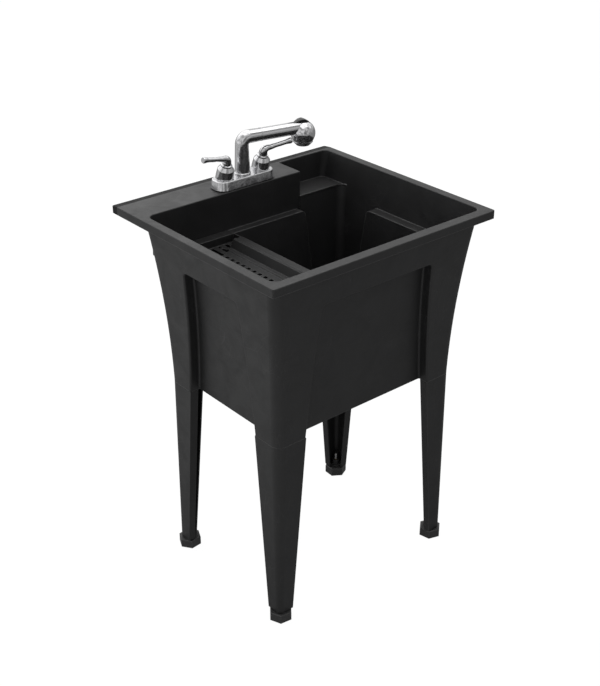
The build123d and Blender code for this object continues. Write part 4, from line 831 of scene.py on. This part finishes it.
@dataclass
class Studio:
    """The pale floor, the soft light and the camera.

    Attributes:
        floor_side: Side of the square floor.
        floor_drop: How far the floor lies under the feet.
        floor_tone: The floor's colour under the lamps.
        shadow_share: How much of the floor's white the camera sees shaded.
        near_reach: Distance at which the floor under the object gives way to the floor around it.
        centre_guard: Distance from the floor's middle under which its sides are not told apart.
        room: Brightness of the room above the floor.
        ground: Brightness of the floor as the object sees it.
        flag_scale: How finely the room is broken up by pale boards and dark flags.
        flag_levels: Where in their noise the darkest flags and the palest boards lie.
        flag_range: Share of the room's brightness on the darkest and the palest of them.
        paper_level: Brightness of the floor's white before its shadow.
        camera_place: Where the camera stands.
        camera_look: The direction that it looks in.
        focal_length: Its lens in millimetres.
        sensor_width: Its sensor in millimetres.
        lamps: The soft lamps.
    """

    floor_side: float = 60.0
    floor_drop: float = 0.4 * MM
    floor_tone: Colour = (0.8, 0.8, 0.8)
    shadow_share: float = 0.1
    near_reach: float = 0.6
    centre_guard: float = 0.4 * MM
    room: Surround = Surround(0.8, 0.3, 0.55, 0.8, 0.6)
    ground: Surround = Surround(0.55, 0.26, 0.45, 0.2, 0.2)
    flag_scale: float = 2.2
    flag_levels: Pair = (0.38, 0.62)
    flag_range: Pair = (0.35, 1.5)
    paper_level: float = 1.07
    camera_place: Point = (-1.53937, -1.82261, 1.82176)
    camera_look: Point = (0.5661, 0.6732, -0.4757)
    focal_length: float = 62.43
    sensor_width: float = 36.0
    lamps: list[Softbox] = field(default_factory=lambda: [
        Softbox("high_back_softbox", (0.8, 1.9, 3.0), (0.0, 0.0, 0.8), 4.4, 21.0),
        Softbox("back_left_softbox", (-0.3, 1.5, 2.0), (-0.1, 0.2, 0.86), 2.4, 7.0),
        Softbox("high_right_softbox", (1.4, 0.0, 2.9), (0.0, 0.0, 0.8), 2.4, 14.0),
        Softbox("overhead_softbox", (0.1, 0.0, 2.4), (0.05, 0.0, 0.8), 1.4, 5.0),
    ])

    def build(self) -> None:
        """Lay the floor, light the room and set the camera."""
        bpy.context.scene.view_settings.view_transform = "Standard"
        self._floor()
        self._world()
        for lamp in self.lamps:
            lamp.build()
        self._camera()

    def _floor(self) -> None:
        """Lay a pale floor that the camera sees as white with a soft shadow."""
        bpy.ops.object.select_all(action="DESELECT")
        below = (0.0, 0.0, -self.floor_drop)
        bpy.ops.mesh.primitive_plane_add(size=self.floor_side, location=below)
        floor = bpy.context.object
        floor.name = "studio_floor"
        material = bpy.data.materials.new("studio_floor")
        material.use_nodes = True
        graph = Graph(material.node_tree)
        graph.tree.nodes.remove(graph.tree.nodes["Principled BSDF"])
        place = graph.parts(graph.place())
        squares = graph.level_squares(place)
        reach = graph.calc("MAXIMUM", graph.calc("SQRT", squares), self.centre_guard)
        sides = self.ground.side_tone(graph, graph.calc("DIVIDE", place["X"], reach),
                                      graph.calc("DIVIDE", place["Y"], reach))
        near = graph.calc("EXPONENT", graph.calc("MULTIPLY", squares, -1.0 / self.near_reach ** 2))
        around = graph.calc("MULTIPLY", sides, graph.calc("SUBTRACT", 1.0, near))
        tone = graph.calc("ADD", around, graph.calc("MULTIPLY", near, self.ground.middle))
        felt = graph.add("Emission", {"Strength": tone}).outputs[0]
        lit = graph.add("BsdfDiffuse", {"Color": self.floor_tone}).outputs[0]
        paper = graph.add("Emission", {"Color": WHITE, "Strength": self.paper_level}).outputs[0]
        shown = graph.add("MixShader", {0: self.shadow_share, 1: paper, 2: lit}).outputs[0]
        seen = graph.add("LightPath").outputs["Is Camera Ray"]
        final = graph.add("MixShader", {0: seen, 1: felt, 2: shown}).outputs[0]
        graph.feed(graph.tree.nodes["Material Output"], "Surface", final)
        floor.data.materials.append(material)

    def _world(self) -> None:
        """Fill the room with soft light that is white to the camera."""
        world = bpy.data.worlds.new("studio")
        world.use_nodes = True
        bpy.context.scene.world = world
        graph = Graph(world.node_tree)
        heading = graph.add("TexCoord").outputs["Generated"]
        look = graph.parts(heading)
        over = graph.calc("MULTIPLY", graph.calc("POWER", look["Z"], 2.0), self.room.middle)
        tone = graph.calc("ADD", over, self.room.side_tone(graph, look["X"], look["Y"]))
        boards = graph.noise(heading, self.flag_scale, detail=1.0)
        flags = graph.span(boards, *self.flag_levels, *self.flag_range)
        tone = graph.calc("MULTIPLY", tone, flags)
        seen = graph.add("LightPath").outputs["Is Camera Ray"]
        background = graph.tree.nodes["Background"]
        graph.feed(background, "Strength", graph.calc("MAXIMUM", tone, seen))
        graph.feed(background, "Color", WHITE)

    def _camera(self) -> None:
        """Stand the camera where the photograph was taken."""
        data = bpy.data.cameras.new("camera")
        data.lens = self.focal_length
        data.sensor_width = self.sensor_width
        camera = bpy.data.objects.new("camera", data)
        camera.matrix_world = looking(self.camera_place, Vector(self.camera_look))
        bpy.context.scene.collection.objects.link(camera)
        bpy.context.scene.camera = camera


# Finishes


class Finish(Enum):
    """The finishes of the sink's pieces."""

    TUB = "tub_plastic"
    LEG = "leg_plastic"
    FOOT = "foot_plastic"
    TRAY = "tray_plastic"
    TOGGLE = "toggle_plastic"
    NUT = "nut_plastic"
    NOZZLE = "nozzle_plastic"
    WHITE = "white_plastic"
    CHROME = "chrome"
    CAST_BRASS = "cast_brass"
    TURNED_BRASS = "turned_brass"
    STAINLESS = "stainless"
    STEEL = "plated_steel"
    RUBBER = "rubber"


class Wardrobe:
    """Every finish of the sink, made once."""

    BLACK: Colour = (0.0135, 0.0135, 0.014)
    # Paler colour of scratches and edges, partly wear and partly a painted highlight along rounded
    # edges.
    RUBBED_AND_HIGHLIGHT: Colour = (0.13, 0.13, 0.132)
    TARNISH: Colour = (0.42, 0.29, 0.12)

    def __init__(self, effects: Effects) -> None:
        """Make the materials.

        Args:
            effects: The shared effects.
        """
        plastics = {
            # The tub's wide edge radius widens its painted edge highlights.
            Finish.TUB: MouldedPlastic(self.BLACK, self.RUBBED_AND_HIGHLIGHT, edge=3.0 * MM,
                                       # Behind the back strip's front the tub's top is painted
                                       # darker, as painted shade.
                                       matte_shaded_from=BACK_STRIP_FRONT),
            Finish.LEG: MouldedPlastic((0.012, 0.012, 0.0125), self.RUBBED_AND_HIGHLIGHT),
            # The foot's paler tone and edge colour stand partly for a painted reflection of the
            # white floor on its walls.
            Finish.FOOT: MouldedPlastic((0.03, 0.03, 0.0305), (0.16, 0.16, 0.16),
                                        grain_scale=1300.0),
            Finish.TRAY: MouldedPlastic((0.008, 0.008, 0.0083), self.RUBBED_AND_HIGHLIGHT, sheen=0.5,
                                        dullness=0.64, edge=2.0 * MM, dusting=0.05),
            Finish.TOGGLE: MouldedPlastic((0.012, 0.012, 0.012), self.RUBBED_AND_HIGHLIGHT, sheen=0.16,
                                          dullness=0.24, grain=0.01 * MM),
            Finish.NUT: MouldedPlastic((0.34, 0.35, 0.36), (0.5, 0.5, 0.5)),
            Finish.NOZZLE: MouldedPlastic((0.16, 0.165, 0.17), (0.3, 0.3, 0.3), dusting=0.0),
            Finish.WHITE: MouldedPlastic((0.72, 0.72, 0.70), (0.85, 0.85, 0.84)),
        }
        others = {
            Finish.CHROME: Plating((0.67, 0.67, 0.68)),
            Finish.CAST_BRASS: DrawnMetal((0.60, 0.45, 0.21), self.TARNISH),
            Finish.TURNED_BRASS: TurnedMetal((0.62, 0.47, 0.22), self.TARNISH, DRAIN_AXIS),
            Finish.STAINLESS: TurnedMetal((0.60, 0.60, 0.61), (0.48, 0.48, 0.49), DRAIN_AXIS),
            Finish.STEEL: DrawnMetal((0.58, 0.58, 0.57), (0.42, 0.42, 0.42)),
            Finish.RUBBER: Rubber((0.02, 0.02, 0.02), (0.05, 0.05, 0.05)),
        }
        self.materials = {kind: look.material(kind.value, effects)
                          for kind, look in (plastics | others).items()}

    def dress(self, piece: bpy.types.Object, finish: Finish) -> None:
        """Give a piece its finish.

        Args:
            piece: The piece.
            finish: The finish.
        """
        piece.data.materials.clear()
        piece.data.materials.append(self.materials[finish])
        LOG.info("%s: %s", piece.name, finish.value)

    def dress_nodes(self, finish: Finish, *names: str) -> None:
        """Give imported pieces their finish.

        Args:
            finish: The finish.
            *names: The pieces' names.
        """
        for name in names:
            self.dress(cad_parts[name], finish)


# Modelling


def pick(*pieces: bpy.types.Object) -> None:
    """Select these pieces only and make the first one active.

    Args:
        *pieces: The pieces.
    """
    bpy.ops.object.select_all(action="DESELECT")
    for piece in pieces:
        piece.select_set(True)
    bpy.context.view_layer.objects.active = pieces[0]


@contextmanager
def editing(piece: bpy.types.Object) -> Iterator[None]:
    """Shape one piece in edit mode, with nothing selected at first.

    Args:
        piece: The piece.

    Yields:
        Nothing, while the piece is in edit mode.
    """
    pick(piece)
    bpy.ops.object.mode_set(mode="EDIT")
    bpy.ops.mesh.select_mode(type="VERT")
    bpy.ops.mesh.select_all(action="DESELECT")
    yield
    bpy.ops.object.mode_set(mode="OBJECT")


def select_points(piece: bpy.types.Object, wanted: Callable[[Vector], bool]) -> None:
    """Select the vertices of the piece in edit mode that are in a place.

    Args:
        piece: The piece.
        wanted: Says whether a place is wanted.
    """
    bpy.ops.object.mode_set(mode="OBJECT")
    for vertex in piece.data.vertices:
        vertex.select = wanted(vertex.co)
    bpy.ops.object.mode_set(mode="EDIT")


def turned(name: str, outline: list[Pair], steps: int) -> bpy.types.Object:
    """Turn an outline round the upright axis at the origin, as on a lathe.

    Args:
        name: The piece's name.
        outline: Radius and height of each corner, from the axis back to the axis.
        steps: Facets round the piece.

    Returns:
        The piece.
    """
    bpy.ops.object.select_all(action="DESELECT")
    bpy.ops.mesh.primitive_plane_add(size=2 * MM)
    piece = bpy.context.object
    piece.name = name
    with editing(piece):
        bpy.ops.mesh.select_all(action="SELECT")
        bpy.ops.mesh.merge(type="CENTER")
        bpy.ops.transform.translate(value=(outline[0][0], 0.0, outline[0][1]))
        for (radius, height), (next_radius, next_height) in zip(outline, outline[1:]):
            step = (next_radius - radius, 0.0, next_height - height)
            bpy.ops.mesh.extrude_vertices_move(TRANSFORM_OT_translate={"value": step})
        bpy.ops.mesh.select_all(action="SELECT")
        bpy.ops.mesh.spin(steps=steps, angle=math.tau, center=(0, 0, 0), axis=(0, 0, 1))
        bpy.ops.mesh.select_all(action="SELECT")
        bpy.ops.mesh.remove_doubles(threshold=MERGE_DISTANCE)
        bpy.ops.mesh.normals_make_consistent(inside=False)
    return piece


@dataclass(frozen=True)
class Thread:
    """A screw thread as one closed ridge that winds round a core.

    Attributes:
        crest: Radius over the thread.
        pitch: Distance between turns.
        low: Height where the first turn starts.
        high: Height where the last turn ends.
        steps: Facets in a turn.
    """

    crest: float
    pitch: float
    low: float
    high: float
    steps: int = 32

    # Depth against the pitch, how far the core covers the foot, and the crest's flat.
    DEPTH_SHARE: ClassVar[float] = 0.58
    CORE_SHARE: ClassVar[float] = 0.25
    CREST_SHARE: ClassVar[float] = 0.35

    @property
    def depth(self) -> float:
        """Depth of the thread, for flanks that lean by 30 degrees."""
        return self.DEPTH_SHARE * self.pitch

    @property
    def root(self) -> float:
        """Radius at the foot of the thread."""
        return self.crest - self.depth

    @property
    def core(self) -> float:
        """Radius of the core, which the foot of the ridge sinks into."""
        return self.root + self.CORE_SHARE * self.depth

    def ridge(self, name: str) -> bpy.types.Object:
        """Model the ridge, round the upright axis at the origin.

        Args:
            name: The piece's name.

        Returns:
            The ridge.
        """
        bpy.ops.object.select_all(action="DESELECT")
        bpy.ops.mesh.primitive_circle_add(vertices=6, radius=0.5 * self.pitch,
                                          rotation=(math.pi / 2, 0.0, 0.0))
        piece = bpy.context.object
        piece.name = name
        bpy.ops.object.transform_apply(location=False, rotation=True, scale=False)
        with editing(piece):
            bpy.ops.mesh.select_all(action="SELECT")
            bpy.ops.transform.resize(value=(2 * self.depth / self.pitch, 1.0, 1.0))
            middle = (self.root, 0.0, self.low + 0.5 * self.pitch)
            bpy.ops.transform.translate(value=middle)
            select_points(piece, lambda place: place.x > self.root)
            bpy.ops.transform.resize(value=(1.0, 1.0, self.CREST_SHARE), center_override=middle)
        turns = max(1, int((self.high - self.low) / self.pitch) - 1)
        screw = piece.modifiers.new("thread", "SCREW")
        screw.axis = "Z"
        screw.screw_offset = self.pitch
        screw.iterations = turns
        screw.steps = screw.render_steps = self.steps
        bpy.ops.object.modifier_apply(modifier=screw.name)
        with editing(piece):
            bpy.ops.mesh.select_all(action="SELECT")
            bpy.ops.mesh.fill_holes(sides=8)
            bpy.ops.mesh.select_all(action="SELECT")
            bpy.ops.mesh.normals_make_consistent(inside=False)
        return piece


def copy_of(name: str, new_name: str) -> bpy.types.Object:
    """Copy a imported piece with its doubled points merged, to reshape it.

    Args:
        name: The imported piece's name.
        new_name: The copy's name.

    Returns:
        The copy.
    """
    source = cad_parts[name]
    piece = bpy.data.objects.new(new_name, source.data.copy())
    bpy.context.scene.collection.objects.link(piece)
    with editing(piece):
        bpy.ops.mesh.select_all(action="SELECT")
        bpy.ops.mesh.remove_doubles(threshold=MERGE_DISTANCE)
    bpy.ops.mesh.customdata_custom_splitnormals_clear()
    return piece


def slim(piece: bpy.types.Object, axis: Point, radius: float, target: float, below: float) -> None:
    """Draw a round wall in towards its upright axis.

    Args:
        piece: The piece.
        axis: A point on the axis.
        radius: The wall's radius.
        target: Its new radius.
        below: Height under which the wall's points lie.
    """

    def on_wall(place: Vector) -> bool:
        """Say whether a point lies on the wall."""
        reach = math.hypot(place.x - axis[0], place.y - axis[1])
        return place.z < below and abs(reach - radius) < WALL_TOLERANCE

    with editing(piece):
        select_points(piece, on_wall)
        share = target / radius
        bpy.ops.transform.resize(value=(share, share, 1.0), center_override=axis)


def joined(name: str, pieces: list[bpy.types.Object]) -> bpy.types.Object:
    """Join pieces into one.

    Args:
        name: The joined piece's name.
        pieces: The pieces, the first of which keeps its origin.

    Returns:
        The joined piece.
    """
    pick(*pieces)
    bpy.ops.object.join()
    pieces[0].name = name
    return pieces[0]


def settle(piece: bpy.types.Object, place: Point) -> bpy.types.Object:
    """Move a piece to its place in its mesh and smooth its shallow edges.

    Args:
        piece: The piece.
        place: How far it moves.

    Returns:
        The piece.
    """
    pick(piece)
    piece.location = place
    bpy.ops.object.transform_apply(location=True, rotation=True, scale=True)
    bpy.ops.object.shade_smooth_by_angle(angle=SMOOTH_ANGLE)
    return piece


def underside(low: Vector, high: Vector) -> Point:
    """Return the middle of a box's underside, from its lowest and highest corners."""
    return ((low.x + high.x) / 2, (low.y + high.y) / 2, low.z)


# Sub-assemblies


@dataclass
class SubAssembly:
    """A group of pieces that is fitted as one.

    Attributes:
        wardrobe: The finishes.
    """

    wardrobe: Wardrobe

    def fit(self, piece: bpy.types.Object, body: str, slot: str, finish: Finish,
            *replaced: str) -> None:
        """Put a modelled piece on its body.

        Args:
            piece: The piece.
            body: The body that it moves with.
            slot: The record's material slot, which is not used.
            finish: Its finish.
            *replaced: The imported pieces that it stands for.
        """
        self.wardrobe.dress(piece, finish)
        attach(piece, body)
        if replaced:
            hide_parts(*replaced)


@dataclass
class TubAndLegs(SubAssembly):
    """The moulded tub on its four legs."""

    def build(self) -> None:
        """Dress the tub, the legs and what fastens them."""
        self.wardrobe.dress_nodes(Finish.TUB, "tub")
        self.wardrobe.dress_nodes(Finish.LEG, *(f"leg_{corner.value}" for corner in Corner))
        self.wardrobe.dress_nodes(Finish.STEEL, "leg_screws")
        self.wardrobe.dress_nodes(Finish.CAST_BRASS, "leg_inserts")


@dataclass
class LevellingFeet(SubAssembly):
    """The four foot pads on threaded studs.

    Attributes:
        stud_radius: Radius over the stud's thread.
        pitch: Distance between the thread's turns.
        chamfer: Height of the stud's chamfered end.
        lead_in: Height at which the thread starts, in pitches.
        facets: Facets round the stud.
    """

    stud_radius: float = 5.0 * MM
    pitch: float = 1.5 * MM
    chamfer: float = 1.0 * MM
    lead_in: float = 0.3
    facets: int = 32

    def build(self) -> None:
        """Dress the pads and model the studs."""
        for corner in Corner:
            self.wardrobe.dress_nodes(Finish.FOOT, f"foot_pad_{corner.value}")
            self._stud(corner.value)

    def _stud(self, corner: str) -> None:
        """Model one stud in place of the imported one.

        Args:
            corner: The corner's name.
        """
        low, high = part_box(f"foot_stud_{corner}")
        tall = high.z - low.z
        shoulder = tall - self.chamfer
        start = self.lead_in * self.pitch
        thread = Thread(self.stud_radius, self.pitch, start, shoulder, self.facets)
        core, tip = thread.core, thread.core - 0.5 * self.chamfer
        outline = [(0.0, 0.0), (core, 0.0), (core, shoulder), (tip, tall), (0.0, tall)]
        name = f"threaded_stud_{corner}"
        stud = joined(name, [turned(name, outline, self.facets), thread.ridge(f"{name}_thread")])
        settle(stud, underside(low, high))
        self.fit(stud, f"foot_{corner}", "steel", Finish.STEEL, f"foot_stud_{corner}")


@dataclass
class DrainerTray(SubAssembly):
    """The lift-out tray with its grid of holes."""

    def build(self) -> None:
        """Dress the tray."""
        self.wardrobe.dress_nodes(Finish.TRAY, "drainer_tray")


@dataclass
class Drain(SubAssembly):
    """The strainer, its nuts, the tailpiece and the stopper.

    Attributes:
        thread_radius: Radius over the strainer's thread.
        pitch: Distance between the thread's turns.
        thread_low: Height of the thread's lower end.
        thread_high: Height of the thread's upper end.
        facets: Facets round the thread.
    """

    thread_radius: float = 23.8 * MM
    pitch: float = 2.2 * MM
    thread_low: float = 405.5 * MM
    thread_high: float = 459.0 * MM
    facets: int = 64

    def build(self) -> None:
        """Dress the drain and model the strainer's thread."""
        self.wardrobe.dress_nodes(Finish.RUBBER, "drain_gasket", "drain_stopper")
        self.wardrobe.dress_nodes(Finish.TURNED_BRASS, "drain_locknut")
        self.wardrobe.dress_nodes(Finish.WHITE, "tail_washer")
        self.wardrobe.dress_nodes(Finish.CHROME, "tailpiece", "coupling_nut")
        axis = (*DRAIN_AXIS, 0.0)
        thread = Thread(self.thread_radius, self.pitch, self.thread_low, self.thread_high,
                        self.facets)
        body = copy_of("strainer_body", "threaded_strainer")
        slim(body, axis, self.thread_radius, thread.core, self.thread_high + self.pitch)
        ridge = settle(thread.ridge("strainer_thread"), axis)
        strainer = settle(joined("threaded_strainer", [body, ridge]), (0.0, 0.0, 0.0))
        self.fit(strainer, "tub", "stainless", Finish.STAINLESS, "strainer_body")


@dataclass
class Tap(SubAssembly):
    """The two-handled tap with its threaded shanks.

    Attributes:
        shank_radius: Radius over the shank's thread.
        pitch: Distance between the thread's turns.
        thread_low: Height of the thread's lower end.
        thread_high: Height of the thread's upper end, under the nuts.
        shanks: X of the hot and cold shanks.
        shank_line: Y of both shanks.
    """

    shank_radius: float = 10.48 * MM
    pitch: float = 1.814 * MM
    thread_low: float = 810.0 * MM
    thread_high: float = 842.2 * MM
    shanks: Pair = (-56.8 * MM, 44.8 * MM)
    shank_line: float = 202.0 * MM

    def build(self) -> None:
        """Dress the tap and model its shanks."""
        self.wardrobe.dress_nodes(Finish.CHROME, "tap_base", "spout")
        for side in ("hot", "cold"):
            self.wardrobe.dress_nodes(Finish.CHROME, f"escutcheon_{side}", f"handle_{side}")
            self.wardrobe.dress_nodes(Finish.CAST_BRASS, f"bonnet_nut_{side}", f"valve_stem_{side}")
            self.wardrobe.dress_nodes(Finish.WHITE, f"cartridge_{side}")
            self.wardrobe.dress_nodes(Finish.STEEL, f"handle_screw_{side}")
        self.wardrobe.dress_nodes(Finish.RUBBER, "tap_gasket", "spout_seal")
        self.wardrobe.dress_nodes(Finish.STEEL, "shank_washers")
        self.wardrobe.dress_nodes(Finish.NUT, "shank_nuts")
        self.wardrobe.dress_nodes(Finish.WHITE, "spout_liner")
        self._shanks()

    def _shanks(self) -> None:
        """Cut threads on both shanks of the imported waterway's copy."""
        thread = Thread(self.shank_radius, self.pitch, self.thread_low, self.thread_high)
        pieces = [copy_of("tap_waterway", "threaded_waterway")]
        for number, across in enumerate(self.shanks):
            axis = (across, self.shank_line, 0.0)
            slim(pieces[0], axis, self.shank_radius, thread.core, self.thread_high + self.pitch)
            pieces.append(settle(thread.ridge(f"shank_thread_{number}"), axis))
        waterway = settle(joined("threaded_waterway", pieces), (0.0, 0.0, 0.0))
        self.fit(waterway, "tub", "brass", Finish.CAST_BRASS, "tap_waterway")


@dataclass
class SprayHead(SubAssembly):
    """The pull-out spray wand with its ball head and toggle.

    Attributes:
        rings: Radius and count of each ring of nozzles.
        nozzle_height: How far a nozzle stands out of the face.
        nozzle_radius: Radius of a nozzle's foot.
        tip_share: Radius of a nozzle's tip, as a share of its foot's.
        bore_share: Radius of a nozzle's bore, as a share of its foot's.
        edge: Chamfer of the face.
        face_facets: Facets round the face.
        nozzle_facets: Facets round a nozzle.
    """

    rings: tuple[tuple[float, int], ...] = ((5.0 * MM, 6), (10.0 * MM, 12))
    nozzle_height: float = 1.1 * MM
    nozzle_radius: float = 1.25 * MM
    tip_share: float = 0.65
    bore_share: float = 0.36
    edge: float = 0.4 * MM
    face_facets: int = 64
    nozzle_facets: int = 12

    def build(self) -> None:
        """Dress the wand and model the face."""
        self.wardrobe.dress_nodes(Finish.CHROME, "spray_wand", "spray_head", "spray_collar")
        self.wardrobe.dress_nodes(Finish.STEEL, "toggle_pin")
        self.wardrobe.dress_nodes(Finish.TOGGLE, "toggle")
        self._face()

    def _face(self) -> None:
        """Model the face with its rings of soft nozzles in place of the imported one."""
        low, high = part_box("spray_face")
        radius, thick = (high.x - low.x) / 2, high.z - low.z
        outline = [(0.0, 0.0), (radius - self.edge, 0.0), (radius, self.edge), (radius, thick),
                   (0.0, thick)]
        pieces = [turned("spray_nozzle_face", outline, self.face_facets)]
        first = self._nozzle()
        for ring, count in self.rings:
            for step in range(count):
                turn = math.tau * step / count
                nozzle = bpy.data.objects.new("nozzle", first.data.copy())
                bpy.context.scene.collection.objects.link(nozzle)
                nozzle.location = (ring * math.cos(turn), ring * math.sin(turn), 0.0)
                pieces.append(nozzle)
        bpy.data.objects.remove(first)
        bpy.context.view_layer.update()
        face = joined("spray_nozzle_face", pieces)
        settle(face, underside(low, high))
        self.fit(face, "spray", "grey_plastic", Finish.NOZZLE, "spray_face")

    def _nozzle(self) -> bpy.types.Object:
        """Model one nozzle, with its foot at the origin and its bore opening downwards.

        Returns:
            The nozzle.
        """
        foot = self.nozzle_radius
        tip, bore = self.tip_share * foot, self.bore_share * foot
        drop = -self.nozzle_height
        outline = [(0.0, drop / 2), (bore, drop / 2), (bore, drop), (tip, drop), (foot, 0.0),
                   (foot, self.edge), (0.0, self.edge)]
        return turned("nozzle", outline, self.nozzle_facets)


def main() -> None:
    """Build the sink's sub-assemblies in order and set up the studio."""
    logging.basicConfig(level=logging.INFO, format="%(name)s: %(message)s")
    wardrobe = Wardrobe(Effects())
    for assembly in (TubAndLegs, LevellingFeet, DrainerTray, Drain, Tap, SprayHead):
        assembly(wardrobe).build()
        LOG.info("built %s", assembly.__name__)
    Studio().build()


if __name__ == "__main__":
    main()
